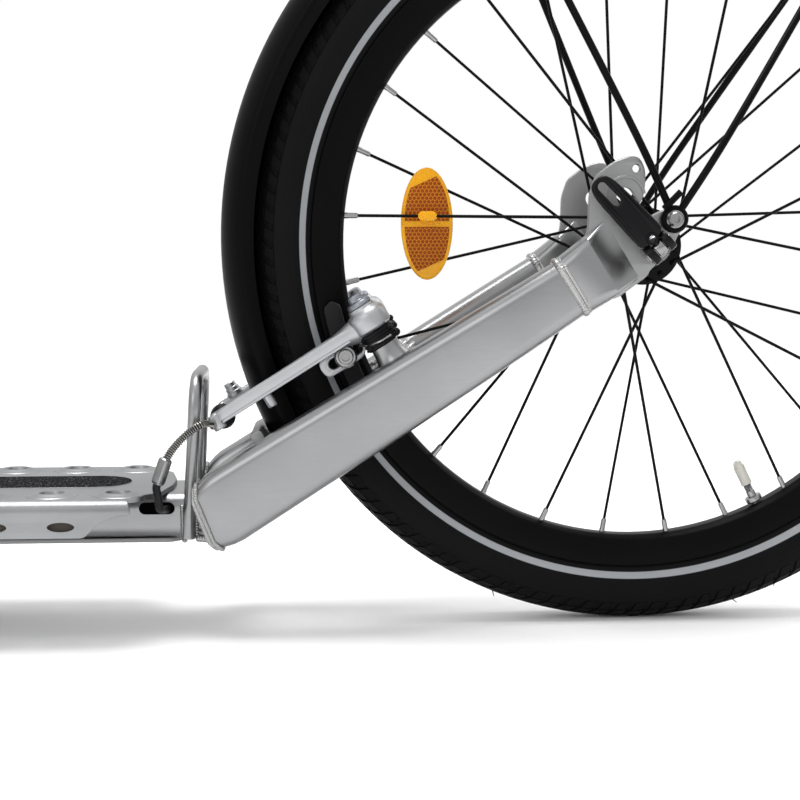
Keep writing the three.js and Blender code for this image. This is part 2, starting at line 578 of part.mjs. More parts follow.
// Two axle seats, an eyelet at the top and a lug for the mudguard wires
function rearDropout(side) {
  const place = (shares) => shifted(scaled(shares, dropout.span), rearAxle.x, rearAxle.z);
  const [eyelet, lug] = place([eyeletShare, guardBoltShare]);
  const holes = [eyelet, lug].map(([x, z]) => ring(x, z, dropout.eyeletR, 8));
  const face = rearHub.halfWidth + rearHub.plate;
  const flat = sidePlate(place(webShares), side, rearHub.halfWidth, face, holes);
  const collar = sidePlate(place(collarShares), side, rearHub.halfWidth - dropout.in, face + dropout.out);
  const width = rearHub.axleR + clearance;
  const seats = [
    seatSlot(rearAxle.x, rearAxle.z, width, dropout.seatDepth),
    seatSlot(rearAxle.x + dropout.upper[0], rearAxle.z + dropout.upper[1], width, dropout.upperDepth),
  ].map((points) => sidePlate(points, side, rearHub.halfWidth - overrun, face + 2 * overrun));
  return cut(join(flat, collar), seats);
}

function brakePost(side, root) {
  const y = side * brake.postHalf;
  return join(
    bolt([0, y, -root], [0, y, brake.boss], brake.bossR, 10),
    bolt([0, y, 0], [0, y, brake.post], brake.postR, 8),
  );
}

function postCap(side) {
  const y = side * brake.postHalf;
  return bolt([0, y, brake.post - clearance / 2], [0, y, brake.post + brake.cap], brake.capR, 10);
}

// Stations along the frame: middle, direction, and how far the section has turned into the round tube
function frameStations() {
  const stations = [0, 0.1, 0.5, 1].map((share) => (
    { at: vec(mix(beamRearX, bendStart, share), 0, beamMiddle), way: vec(-1, 0, 0), share: 0 }));
  const centre = vec(bendStart, 0, beamMiddle + downTube.bendR);
  for (const share of [0.2, 0.4, 0.6, 0.8, 1]) {
    const turn = share * riseAngle;
    const at = vec(centre.x - downTube.bendR * Math.sin(turn), 0, centre.z - downTube.bendR * Math.cos(turn));
    stations.push({ at, way: vec(-Math.cos(turn), 0, Math.sin(turn)), share: share / 2 });
  }
  const run = frameCorner.distanceTo(headJoint) - downTube.shy;
  for (const share of [0.2, 0.5, 1]) {
    const at = frameCorner.clone().addScaledVector(riseWay, mix(bendReach, run, share));
    stations.push({ at, way: riseWay, share: Math.min(1, share + 0.5) });
  }
  return stations;
}

function frameRing({ at, way, share }, inset) {
  const up = vec(way.z, 0, -way.x);
  const width = mix(2 * beam.halfWidth, downTube.width, ease(share)) - 2 * inset;
  const height = mix(beamHeight, downTube.depth, ease(share)) - 2 * inset;
  const corner = mix(beam.corner, downTube.corner, ease(share)) - inset;
  return roundedBox(width, height, corner).map(([y, h]) => at.clone().addScaledVector(up, h).setY(y));
}

// Where the rear brake cable leaves the down tube, on the rider's right
const cableExit = headJoint.clone().addScaledVector(riseWay, -cableSlot.exitDrop);

function headGusset() {
  const low = steerPoint(headTube.outerR - beam.wall, 0, headLow + gusset.low);
  const high = headJoint.clone();
  const far = headJoint.clone().addScaledVector(riseWay, -gusset.length);
  const waist = low.clone().add(far).multiplyScalar(0.5).add(high.clone().sub(low).setLength(gusset.bow));
  return plate([low, waist, far, high].map((p) => [p.x, p.z]), -gusset.half, gusset.half);
}

// Main frame: one wide beam under the board that bends up into the down tube and the head tube
function mainFrame() {
  const stations = frameStations();
  const last = stations[stations.length - 1];
  const outer = loft(stations.map((s) => frameRing(s, 0)));
  const rearEnd = { ...stations[0], at: stations[0].at.clone().setX(beamRearX - beam.wall) };
  const frontEnd = { ...last, at: last.at.clone().addScaledVector(riseWay, -downTube.inside) };
  const hollow = loft([rearEnd, ...stations.slice(1, -1), frontEnd].map((s) => frameRing(s, beam.wall)));
  const post = (low, high, r, sides) => onBike(bolt([0, 0, low], [0, 0, high], r, sides), steerFrame);
  const tube = post(headLow, headHigh, headTube.outerR, 20);
  const bore = post(headLow - overrun, headHigh + overrun, headTube.boreR, 16);
  const slotPlace = slot(beamRearX - cableSlot.back, beamMiddle + cableSlot.rise, cableSlot.length, cableSlot.height);
  const entry = sidePlate(slotPlace, -1, beam.halfWidth - overrun, beam.halfWidth + overrun);
  const { x, z } = cableExit;
  const exit = bolt([x, downTube.width / 2 - 2 * overrun, z], [x, downTube.width / 2 + overrun, z], cableSlot.exitR, 10);
  return cut(join(cut(outer, hollow), tube, cut(headGusset(), hollow)), bore, entry, exit);
}

// Both ends of the board, with the way into the board as a sign
const deckFrontX = bendStart + clearance;
const deckEnds = [{ x: deckRearX, into: -1 }, { x: deckFrontX, into: 1 }];

function deckSection() {
  const { top, halfWidth: w, roll, sheet: t, flange } = deck;
  return [
    [-w, top - flange], [-w + t, top - flange], ...arc(-w + roll, top - roll, roll - t, 180, 90, 2),
    ...arc(w - roll, top - roll, roll - t, 90, 0, 2), [w - t, top - flange], [w, top - flange],
    ...arc(w - roll, top - roll, roll, 0, 90, 3), ...arc(-w + roll, top - roll, roll, 90, 180, 3),
  ];
}

// Folded footboard: nose at each end, scalloped sides, raised holes along the edges and slots in the sides
function deckPlate() {
  const { top, halfWidth: w, roll, sheet: t } = deck;
  const shoulder = ({ x, into }) => x + into * deck.shoulder;
  const channel = rail(deckSection(), shoulder(deckEnds[1]), shoulder(deckEnds[0]));
  const noses = deckEnds.map((e) => {
    const half = [[shoulder(e) + e.into * t, w - roll], [e.x + e.into * deck.nose, deck.noseHalf], [e.x, deck.tipHalf]];
    return sheet([...half, ...half.map(([x, y]) => [x, -y]).reverse()], top - t, t);
  });
  const scallops = deckEnds.map((e) => {
    const points = scaled(scallopShares, e.into * deck.scallop, -deck.flange);
    return plate(shifted(points, shoulder(e), top), -w - overrun, w + overrun);
  });
  const rows = Math.floor((deckRearX - deckFrontX - 2 * well.first) / well.pitch) + 1;
  const places = count(rows).map((k) => deckRearX - well.first - k * well.pitch);
  const wells = places.flatMap((x) => [-1, 1].map((side) => [x, side * well.row]));
  const domes = wells.map(([x, y]) => revolve([
    [0, -t / 2], [well.footR, -t / 2], [well.footR, 0], [well.holeR, well.rise], [0, well.rise],
  ], well.sides, false).rotate([90, 0, 0]).translate([x, y, top]));
  const holes = wells.map(([x, y]) => bolt([x, y, top - overrun], [x, y, top + overrun], well.holeR, well.sides));
  const slots = places.slice(1).map((x) => (
    plate(slot(x + sideSlot.shift, top - sideSlot.drop, sideSlot.length, sideSlot.width, 0, 2), -w - overrun, w + overrun)));
  return cut(join(channel, noses, domes), scallops, holes, slots);
}

function gripTape() {
  const length = deckRearX - deckFrontX - 2 * deck.tapeInset;
  return sheet(slot((deckRearX + deckFrontX) / 2, 0, length, 2 * deck.tapeHalf, 0, 6), deck.top, deck.tape);
}

function skidPlate() {
  const { half: y, chamfer: c, thick } = skid;
  const [x, far] = [deckRearX + skid.rear, bendStart + skid.front];
  return sheet([[far, -y], [x - c, -y], [x, c - y], [x, y - c], [x - c, y], [far, y]], beam.bottom - thick, thick);
}

// Round bow over the rear of the board, in front of the wheel
function guardBow() {
  const y = beam.halfWidth + bow.r + clearance;
  const [x, low] = [beamRearX - bow.back, beam.bottom + bow.lap];
  const half = [[x, y, low], [x + bow.lean, y, low + bow.rise]];
  const path = [...half.map(([a, b, c]) => [a, -b, c]), ...half.reverse()];
  return pipe(path, bow.bend, bow.r, 10, 4);
}

// Cross piece that ties the stays together and carries the mudguard's lower end
function stayBridge() {
  const [c, s] = [Math.cos(bridge.turn * deg), Math.sin(bridge.turn * deg)];
  const r = guardOuter(rear) + bridge.ease;
  const points = bridgeShares.map(([out, along]) => {
    const [a, b] = [r + out * bridge.thick, along * bridge.up];
    return [rearAxle.x + a * c - b * s, rearAxle.z + a * s + b * c];
  });
  const half = Math.min(...points.map(([x, z]) => {
    const along = vec(x, 0, z).sub(stayFront).dot(stayWay) / stayFront.distanceTo(stayRear);
    return stayPoint(along).y - stay.width / 2 - clearance;
  }));
  return plate(points, -half, half);
}

// Curved mudguard round a wheel, from one angle to another
function mudguard(w, [from, to], steps) {
  const outer = guardOuter(w);
  const edge = (r, half, share) => [r - guard.depth * share * share, share * half];
  const flat = [
    ...guardShares.map((s) => edge(outer, guard.halfWidth, s)),
    ...guardShares.map((s) => edge(outer - guard.sheet, guard.halfWidth - guard.lip, -s)),
  ];
  return loft(count(steps + 1).map((i) => {
    const angle = mix(from, to, i / steps) * deg;
    return flat.map(([r, y]) => vec(r * Math.cos(angle), y, r * Math.sin(angle)));
  }), flat);
}

// Two wires from one bolt at the dropout to the mudguard's edge
function guardWires(w, h, side, seat, angles) {
  const y = h.halfWidth + h.plate + wire.in + clearance;
  const r = w.tyreR + guard.clearR - guard.depth + wire.lap;
  const edge = guard.halfWidth + wire.r + clearance;
  const at = (x, across, z) => [x, side * across, z];
  const eye = bolt(at(seat[0], y - wire.in, seat[1]), at(seat[0], y + wire.out, seat[1]), wire.eyeR, 8);
  const head = bolt(at(seat[0], y, seat[1]), at(seat[0], y + wire.out + wire.head, seat[1]), wire.headR, 6);
  const lift = wire.r - wire.in + clearance / 2;
  const wires = angles.map((degrees) => {
    const [x, z] = [r * Math.cos(degrees * deg), r * Math.sin(degrees * deg)];
    const way = vec(x - seat[0], 0, z - seat[1]).normalize();
    const near = [seat[0] + way.x * wire.bend, seat[1] + way.z * wire.bend];
    const far = [x - way.x * wire.bend / 2, z - way.z * wire.bend / 2];
    return rod(flowing([
      at(seat[0] + way.x * wire.headR, y + lift, seat[1] + way.z * wire.headR), at(near[0], y + lift, near[1]),
      at(far[0], edge + wire.edge, far[1]), at(x, edge, z),
    ]), wire.r, 6, 5);
  });
  return join(eye, head, wires);
}

// Brake arm: pivot sleeve, tapered beam, slotted tab and the pad's bolt and washers
function brakeArm(side, kind) {
  const { postHalf, tipHalf, arm, wide, thick, rise } = brake;
  const beamOutline = armShares.map(([along, across]) => (
    [-along * arm, side * (mix(postHalf, tipHalf, Math.max(0, along)) + across * wide)]));
  const body = sheet(beamOutline, rise - thick / 2, thick);
  const sleeve = bolt([0, side * postHalf, brake.sleeve], [0, side * postHalf, brake.post - 2 * clearance], brake.sleeveR, 10);
  const eye = bolt([0, side * postHalf, 0], [0, side * postHalf, brake.post + overrun], brake.postR + clearance, 8);
  const slotHole = slot(-brake.padAlong, brake.padUp, tab.slotLength, tab.slotWidth, 0, 2);
  const tabOutline = shifted(scaled(tabShares, -tab.reach, tab.high - tab.low), -tab.root, tab.low);
  const plateIn = postHalf - tab.near;
  const slotted = sidePlate(tabOutline, side, plateIn, plateIn + tab.thick, [slotHole]);
  const at = (v) => [-brake.padAlong, side * v, brake.padUp];
  const padBack = padFace + brake.padThick + clearance;
  const outer = plateIn + tab.thick + padBolt.nut;
  const hardware = [
    bolt(at(padBack), at(outer + padBolt.nut), padBolt.r, 8),
    bolt(at(padBack), at(plateIn), padBolt.washerR, 10),
    bolt(at(plateIn + tab.thick), at(outer), padBolt.outerR, 10),
    bolt(at(outer), at(outer + padBolt.nut), padBolt.nutR, 6),
  ];
  const pegY = side * mix(postHalf, tipHalf, peg.along / arm);
  const stub = bolt([-peg.along, pegY, peg.low], [-peg.along, pegY, rise], peg.r, 8);
  const anchor = bolt([-clamp.along, side * tipHalf, rise], [-clamp.along, side * tipHalf, clamp.rise], clamp.r, 8);
  return cut(join(body, sleeve, slotted, hardware, stub, kind === 'clamp' ? anchor : []), eye);
}

// Pad block, turned so that it lies along the rim
function brakePad(side, axle) {
  const way = Math.atan2(brake.padUp - axle.z, -brake.padAlong - axle.x);
  const [half, wide] = [brake.padLength / 2, brake.padHeight / 2];
  const corners = [[-wide, brake.padTaper - half], [0, -half], [wide, brake.padTaper - half]];
  const [c, s] = [Math.cos(way), Math.sin(way)];
  const block = [...corners, ...corners.map(([r, v]) => [-r, -v])].map(([r, v]) => (
    [r * c - v * s - brake.padAlong, r * s + v * c + brake.padUp]));
  return sidePlate(block, side, padFace, padFace + brake.padThick);
}

// Bare cable between the arm tips with its rubber boot
function brakeLink() {
  const tip = brake.tipHalf - boot.inset;
  const folds = bootShares.map(([r, y]) => [r * boot.endR, -tip + y * boot.length]);
  return revolve([
    [0, -tip], [boot.endR, -tip], [boot.endR, -tip + boot.end], ...folds, [boot.wireR, -tip + boot.length],
    [boot.wireR, tip], [0, tip],
  ], 8, false).translate([-boot.along, 0, brake.tipRise]);
}

const guidePlaces = (shares) => shares.map(([x, y, z]) => [
  guide.reach * x - brake.arm, guide.reach * y - brake.tipHalf, guide.reach * z + brake.tipRise,
]);

// Cable guide tube: a bore, a smooth half by the arm, ribs along the outer half and a ferrule
function cableGuide(shares) {
  const points = guidePlaces(shares);
  const ferruleTo = points.pop();
  const curve = flowing(points);
  const steps = 200;
  const frames = curve.computeFrenetFrames(steps, false);
  const skin = (share, r) => {
    const k = Math.round(share * steps);
    const at = curve.getPointAt(share);
    return ring(0, 0, r, 8).map(([a, b]) => (
      at.clone().addScaledVector(frames.normals[k], a).addScaledVector(frames.binormals[k], b)));
  };
  const pitch = (guide.endShare - guide.smoothShare) / guide.ribs;
  const ribs = count(guide.ribs).flatMap((i) => {
    const start = guide.smoothShare + i * pitch;
    return [[start + pitch / 2, guide.crest], [start + pitch, guide.root]];
  });
  const smooth = [0, 0.5, 1].map((share) => [share * guide.smoothShare, guide.root]);
  const outer = loft([...smooth, ...ribs, [1, guide.root]].map(([share, r]) => skin(share, r)));
  const ferrule = bolt(points[points.length - 1], ferruleTo, guide.ferruleR, 8);
  const [mouth, next] = [curve.points[0], curve.points[1]];
  const bore = flowing([mouth.clone().add(mouth.clone().sub(next).setLength(guide.bore)).toArray(), ...points]);
  return join(cut(outer, rod(bore, guide.bore, 8, 8)), ferrule);
}

// Steering parts, in the steering frame
function forkLeg(side) {
  const points = legShares.map(([rake, crown, foot, height]) => [
    rake * forkRake, side * mix(crown * fork.crownY, fork.footY, foot), height * crownHeight,
  ]);
  const foot = [-forkRake + fork.bossR, side * fork.footY, fork.footRise];
  const curve = flowing([...points, foot]);
  const steps = 10;
  const frames = curve.computeFrenetFrames(steps, false);
  return loft(count(steps + 1).map((i) => {
    const at = curve.getPointAt(i / steps);
    return ring(0, 0, mix(fork.topR, fork.footR, i / steps), 8).map(([a, b]) => (
      at.clone().addScaledVector(frames.normals[i], a).addScaledVector(frames.binormals[i], b)));
  }));
}

function forkDropout(side) {
  const size = frontEyelet[0];
  const web = shifted(scaled(forkWebShares, size), -forkRake, 0);
  const hole = ring(frontEyelet[0] - forkRake, frontEyelet[1], dropout.eyeletR, 8);
  const flat = sidePlate(web, side, frontHub.halfWidth, frontHub.halfWidth + frontHub.plate, [hole]);
  const r = frontHub.axleR + clearance;
  const seat = slot(-forkRake, -dropout.seatDepth / 2, dropout.seatDepth + 2 * r, 2 * r, 90, 6);
  return cut(flat, sidePlate(seat, side, frontHub.halfWidth - overrun, frontHub.halfWidth + 2 * frontHub.plate));
}

function forkBody() {
  const sides = [-1, 1];
  const legs = sides.map(forkLeg);
  const low = crownHeight - fork.topR;
  const steerer = bolt([0, 0, low], [0, 0, steererTop], steererR, steererSides);
  const race = bolt([0, 0, crownHeight - overrun], [0, 0, headLow - cup.height - clearance], fork.raceR, 14);
  const guardTop = guardOuter(front) + clearance;
  const bossLow = Math.sqrt(guardTop ** 2 - (forkRake - fork.bossR) ** 2) + clearance;
  const boss = bolt([0, 0, bossLow], [0, 0, low], fork.bossR, 8);
  const posts = sides.map((side) => onBike(join(brakePost(side, 2 * brake.sleeve), postCap(side)), frontBrakeFrame));
  return join(legs, steerer, race, boss, posts, sides.map(forkDropout));
}

function headCup(low, high) {
  const r = headTube.outerR;
  // The flats of the bore stay clear of the steerer's corners at every steering angle
  const bore = (steererR + clearance) / Math.cos(Math.PI / steererSides);
  return revolve([
    [bore, low], [r, low], [r + cup.bulge, mix(low, high, 0.35)], [r + cup.bulge, mix(low, high, 0.7)],
    [r, high], [bore, high],
  ], steererSides).rotate([90, 0, 0]);
}

function stemBody() {
  const [bx, , bz] = barMiddle;
  const high = stemLow + stem.height;
  const clampBody = bolt([0, 0, stemLow], [0, 0, high], stem.r, 14);
  const reach = bolt([0, 0, mix(stemLow, high, 0.5)], [bx, 0, bz], stem.neckR, 12);
  const ringBody = bolt([bx, -stem.ringHalf, bz], [bx, stem.ringHalf, bz], stem.r, 14);
  const cap = bolt([0, 0, high], [0, 0, high + stem.cap], stem.capR, 14);
  const bore = bolt([0, 0, stemLow - overrun], [0, 0, steererTop + clearance], steererR + clearance, 14);
  const barBore = bolt([bx, -stem.ringHalf - overrun, bz], [bx, stem.ringHalf + overrun, bz], bar.r + clearance, 12);
  return cut(join(clampBody, reach, ringBody, cap), bore, barBore);
}

function handlebar() {
  const half = [barEnd, barBend, [barMiddle[0], bar.flatHalf, barMiddle[2]]];
  const mirror = half.map(([x, y, z]) => [x, -y, z]);
  return pipe([...mirror, ...half.reverse()], bar.bend, bar.r, 12, 3);
}

// Frame of one lever: X outwards along the bar, Y forwards, Z along the lever's pivot
function leverFrame(side) {
  const from = vec(barBend[0], side * barBend[1], barBend[2]);
  const out = vec(barEnd[0], side * barEnd[1], barEnd[2]).sub(from).normalize();
  const turn = vec(-Math.sin(lever.tilt * deg), 0, Math.cos(lever.tilt * deg));
  const pin = turn.clone().addScaledVector(out, -turn.dot(out)).normalize().multiplyScalar(side);
  const ahead = pin.clone().cross(out).normalize();
  const at = from.clone().addScaledVector(out, (lever.along - barBend[1]) / Math.abs(out.y));
  return new THREE.Matrix4().makeBasis(out, ahead, pin).setPosition(at);
}

// Rubber grip, closed at the end of the bar
function barGrip() {
  const run = Math.hypot(barEnd[0] - barBend[0], barEnd[1] - barBend[1]) / (barEnd[1] - barBend[1]);
  const end = (bar.half - lever.along) * run + clearance;
  const from = grip.start;
  const body = bolt([from, 0, 0], [end + grip.end, 0, 0], grip.r, 12);
  const flange = bolt([from, 0, 0], [from + grip.flange, 0, 0], grip.flangeR, 12);
  return cut(join(body, flange), bolt([from - overrun, 0, 0], [end, 0, 0], bar.r + clearance, 12));
}

function leverMount() {
  const { thick, band, bandHalf } = mount;
  const body = sheet(scaled(mountShares, lever.reach), -thick / 2, thick);
  const clampBand = bolt([-bandHalf, 0, 0], [bandHalf, 0, 0], band, 12);
  const adjuster = bolt([-barrel.from, barrel.side, 0], [-barrel.to, barrel.side, 0], barrel.r, 8);
  const room = sheet(scaled(mountRoomShares, lever.reach), -lever.thick / 2 - clearance, lever.thick + 2 * clearance);
  const bore = bolt([-2 * bandHalf, 0, 0], [2 * bandHalf, 0, 0], bar.r + clearance, 12);
  return cut(join(body, clampBand, adjuster), bore, room);
}

function leverBlade() {
  const points = leverShares.map(([along, across]) => [along * lever.length, lever.reach + across * lever.length / 2]);
  return sheet(points, -lever.thick / 2, lever.thick);
}

const cable = (points, steps) => rod(flowing(points), cableR, 6, steps);

// Rear brake cable inside the frame, from the slot by the stays to the hole near the head tube
function cableRun() {
  const { x, z } = cableExit;
  const [bx, bz] = [beamRearX, beamMiddle];
  const back = (run, y) => [x - riseWay.x * run, y, z - riseWay.z * run];
  const stations = frameStations().slice(3, 9).map(({ at: p }, i) => [p.x, 8 - i, p.z]);
  return cable([
    [bx - 34, -22, bz + 3.9], [bx - 26, -10, bz + 1.4], [bx - 24, 4, bz], [bx - 34, 14, bz], [bx - 58, 14, bz],
    [bx - 218, 10, bz], ...stations, back(200, 3), back(45, 4), back(12, 5.5), back(1, 13), [x, 22.3, z],
  ], 39);
}

// End of the ferrule on a brake's guide tube, in the frame of what carries the brake
const ferruleEnd = (matrix, shares) => vec(...guidePlaces(shares).pop()).applyMatrix4(matrix);

function cableTail() {
  const { x, y, z } = ferruleEnd(brakeFrame, rearGuideShares);
  const [bx, bz] = [beamRearX, beamMiddle];
  return cable([
    [x - 0.5, y, z - clearance - 1.1], [bx - 41.8, y + 0.4, bz + 15.4], [bx - 41.4, -55, bz + 9], [bx - 40, -42, bz + 5.4],
    [bx - 37, -29, bz + 4.6], [bx - 35, -24.4, bz + 4.3],
  ], 12);
}

// Rear brake cable in the open, from the down tube to the right lever
function cableLoop() {
  const { x, z } = cableExit;
  const leave = leverFrame(1);
  const onLever = (...p) => vec(...p).applyMatrix4(leave).applyMatrix4(steerFrame).toArray();
  const mid = (...p) => steerPoint(...p).toArray();
  return cable([
    [x - 0.2, 23.8, z + 0.3], [x - 8, 40, z + 16], mid(20, 54, headLow + 130), mid(-50, 68, headLow + 180),
    mid(-92, 78, headLow + 240),
    onLever(-88, 36, 0), onLever(-62, 26, 0), onLever(-barrel.from - clearance, barrel.side, 0),
  ], 30);
}

function frontCable() {
  const leave = leverFrame(-1);
  const onLever = (...p) => vec(...p).applyMatrix4(leave).toArray();
  const { x, y, z } = ferruleEnd(frontBrakeFrame, frontGuideShares);
  return cable([
    onLever(-barrel.from - clearance, barrel.side, 0), onLever(-60, 25, 0), onLever(-90, 32, 0), [x - 82, y - 102, z + 238],
    [x - 74, y - 38, z + 158], [x - 36, y - 4, z + 78], [x - 6, y + 1.8, z + 32], [x - 0.1, y, z + clearance],
  ], 30);
}

// Assembly
const bike = new THREE.Group();
const root = new THREE.Group();
bike.add(root);
root.position.x = (wheelbase + front.tyreR - rear.tyreR) / 2;

function groupAt(parent, matrix) {
  const group = new THREE.Group();
  group.applyMatrix4(matrix);
  parent.add(group);
  return group;
}

const moved = (x, y, z) => new THREE.Matrix4().makeTranslation(x, y, z);
const turnedY = (angle) => new THREE.Matrix4().makeRotationY(angle);

function addWheel(group, w, h, name) {
  const angleOf = (k) => (180 - spoke.firstAngle + k * 360 / w.spokes) * deg;
  group.add(
    part(`${name}_tyre`, tyre(w), 'rubber'),
    part(`${name}_rim`, rim(w), 'black'),
    part(`${name}_hub_spokes`, hubWithSpokes(w, h), 'anodised'),
    part(`${name}_axle`, axle(h), 'silver'),
  );
  const stemTurn = turnedY(Math.PI / 2 - angleOf(10.5)).multiply(new THREE.Matrix4().makeRotationX(Math.PI / 2));
  groupAt(group, stemTurn).add(part(`${name}_valve`, valveStem(w), 'chrome'));
  const r = w.rimInR * lens.placeShare;
  const place = [r * Math.cos(angleOf(1)), r * Math.sin(angleOf(1))];
  groupAt(group, moved(place[0], 0, place[1])).add(part(`${name}_reflector`, reflector(w, h, place), 'amber'));
}

function addRelease(group, h, name) {
  const turn = groupAt(group, turnedY(releaseWay[name] * deg));
  turn.add(
    part(`${name}_release_cam`, releaseCam(h), 'silver'),
    part(`${name}_release_nut`, releaseCup(h, 1), 'silver'),
  );
  groupAt(turn, moved(0, -releasePin(h), 0)).add(part(`${name}_release_lever`, releaseLever(), 'anodised'));
}

function addGuard(group, w, h, name, seat, steps) {
  group.add(
    part(`${name}_mudguard`, mudguard(w, guardSpan[name], steps), 'black'),
    part(`${name}_guard_wires_left`, guardWires(w, h, -1, seat, wireAngles[name]), 'black'),
    part(`${name}_guard_wires_right`, guardWires(w, h, 1, seat, wireAngles[name]), 'black'),
  );
}

// In the brake's frame, the arm on its -Y side holds the cable guide
function addBrake(parent, matrix, axlePlace, name, guideHand, clampHand) {
  const axleAt = vec(...axlePlace).applyMatrix4(matrix.clone().invert());
  groupAt(parent, matrix).add(
    part(`${name}_brake_arm_${guideHand}`, brakeArm(-1, 'guide'), 'silver'),
    part(`${name}_brake_arm_${clampHand}`, brakeArm(1, 'clamp'), 'silver'),
    part(`${name}_pad_${guideHand}`, brakePad(-1, axleAt), 'rubber'),
    part(`${name}_pad_${clampHand}`, brakePad(1, axleAt), 'rubber'),
    part(`${name}_brake_link`, brakeLink(), 'rubber'),
    part(`${name}_guide`, cableGuide(name === 'rear' ? rearGuideShares : frontGuideShares), 'chrome'),
  );
}

root.add(
  part('main_frame', mainFrame(), 'silver'),
  part('left_stay', rearStay(-1), 'silver'),
  part('right_stay', rearStay(1), 'silver'),
  part('stay_bridge', stayBridge(), 'silver'),
  part('guard_bow', guardBow(), 'silver'),
  part('deck_plate', deckPlate(), 'silver'),
  part('grip_tape', gripTape(), 'tape'),
  part('skid_plate', skidPlate(), 'silver'),
  part('rear_cable_run', cableRun(), 'black'),
  part('rear_cable_tail', cableTail(), 'black'),
  part('rear_cable_loop', cableLoop(), 'black'),
);
const rearWheel = groupAt(root, moved(rearAxle.x, 0, rearAxle.z));
addWheel(rearWheel, rear, rearHub, 'rear');
addRelease(rearWheel, rearHub, 'rear');
addGuard(rearWheel, rear, rearHub, 'rear', guardBolt, 18);
addBrake(root, brakeFrame, [rearAxle.x, 0, rearAxle.z], 'rear', 'left', 'right');

groupAt(root, steerFrame).add(
  part('lower_cup', headCup(headLow - cup.height, headLow), 'anodised'),
  part('upper_cup', headCup(headHigh, headHigh + cup.height), 'anodised'),
);
const steering = groupAt(root, steerFrame);
steering.add(
  part('fork', forkBody(), 'silver'),
  part('stem', stemBody(), 'anodised'),
  part('handlebar', handlebar(), 'anodised'),
  part('front_cable', frontCable(), 'black'),
);
for (const [name, side] of [['left', -1], ['right', 1]]) {
  groupAt(steering, leverFrame(side)).add(
    part(`${name}_grip`, barGrip(), 'rubber'),
    part(`${name}_lever_mount`, leverMount(), 'anodised'),
    part(`${name}_brake_lever`, leverBlade(), 'anodised'),
  );
}
const frontWheel = groupAt(steering, moved(-forkRake, 0, 0).multiply(turnedY(-steerTurn)));
const [eyeletC, eyeletS] = [Math.cos(steerTurn), Math.sin(steerTurn)];
const frontGuardSeat = [
  frontEyelet[0] * eyeletC + frontEyelet[1] * eyeletS, frontEyelet[1] * eyeletC - frontEyelet[0] * eyeletS,
];
addWheel(frontWheel, front, frontHub, 'front');
addRelease(frontWheel, frontHub, 'front');
addGuard(frontWheel, front, frontHub, 'front', frontGuardSeat, 16);
addBrake(steering, frontBrakeFrame, [-forkRake, 0, 0], 'front', 'right', 'left');

export default bike;
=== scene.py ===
"""Looks of the kick bike: smooth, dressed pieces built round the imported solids.

Lengths in the classes are millimetres in the bike's own frame, whose X starts at the rear axle (positive to the
rear), whose Y is the rider's right and whose Z starts at the floor. Shell.piece() turns them into metres.
"""
import logging
import math
from collections.abc import Callable
from dataclasses import dataclass
from enum import Enum

import bmesh
import bpy
from mathutils import Matrix, Vector


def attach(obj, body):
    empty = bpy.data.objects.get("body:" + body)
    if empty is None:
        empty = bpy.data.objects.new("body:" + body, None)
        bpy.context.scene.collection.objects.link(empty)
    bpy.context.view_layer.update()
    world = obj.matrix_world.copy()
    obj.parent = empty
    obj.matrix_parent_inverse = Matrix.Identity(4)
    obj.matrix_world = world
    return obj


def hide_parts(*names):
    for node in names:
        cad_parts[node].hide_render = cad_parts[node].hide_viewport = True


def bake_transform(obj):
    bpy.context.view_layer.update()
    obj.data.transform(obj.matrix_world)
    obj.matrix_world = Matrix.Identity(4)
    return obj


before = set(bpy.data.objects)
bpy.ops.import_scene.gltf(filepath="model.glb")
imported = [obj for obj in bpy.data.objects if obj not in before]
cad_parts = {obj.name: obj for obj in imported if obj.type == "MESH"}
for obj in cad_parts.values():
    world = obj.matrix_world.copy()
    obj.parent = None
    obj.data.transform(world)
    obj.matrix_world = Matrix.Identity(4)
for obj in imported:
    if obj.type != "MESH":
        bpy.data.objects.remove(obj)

log = logging.getLogger("kick_bike")
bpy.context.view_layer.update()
DEG = math.pi / 180
SHIFT = 702.5  # from the rear axle forward to the CAD's origin
HUB_Z = 243.0  # rear axle over the floor
FRONT = (-1300.0, 348.0)  # front axle
HEAD_ANGLE = 19 * DEG


class Side(Enum):
    """Side of the bike, as the sign of Y."""

    LEFT = -1
    RIGHT = 1

    @property
    def hand(self) -> str:
        """Name of the side as the nodes spell it."""
        return self.name.lower()

    @classmethod
    def of(cls, y: float) -> "Side":
        """Side on which a value of Y lies."""
        return cls.RIGHT if y > 0 else cls.LEFT


class Lay(Enum):
    """Direction of a surface's fine grain in its object's axes."""

    NONE = (1.0, 1.0, 1.0)
    ALONG_X = (0.08, 1.0, 1.0)


# ---- shader maths


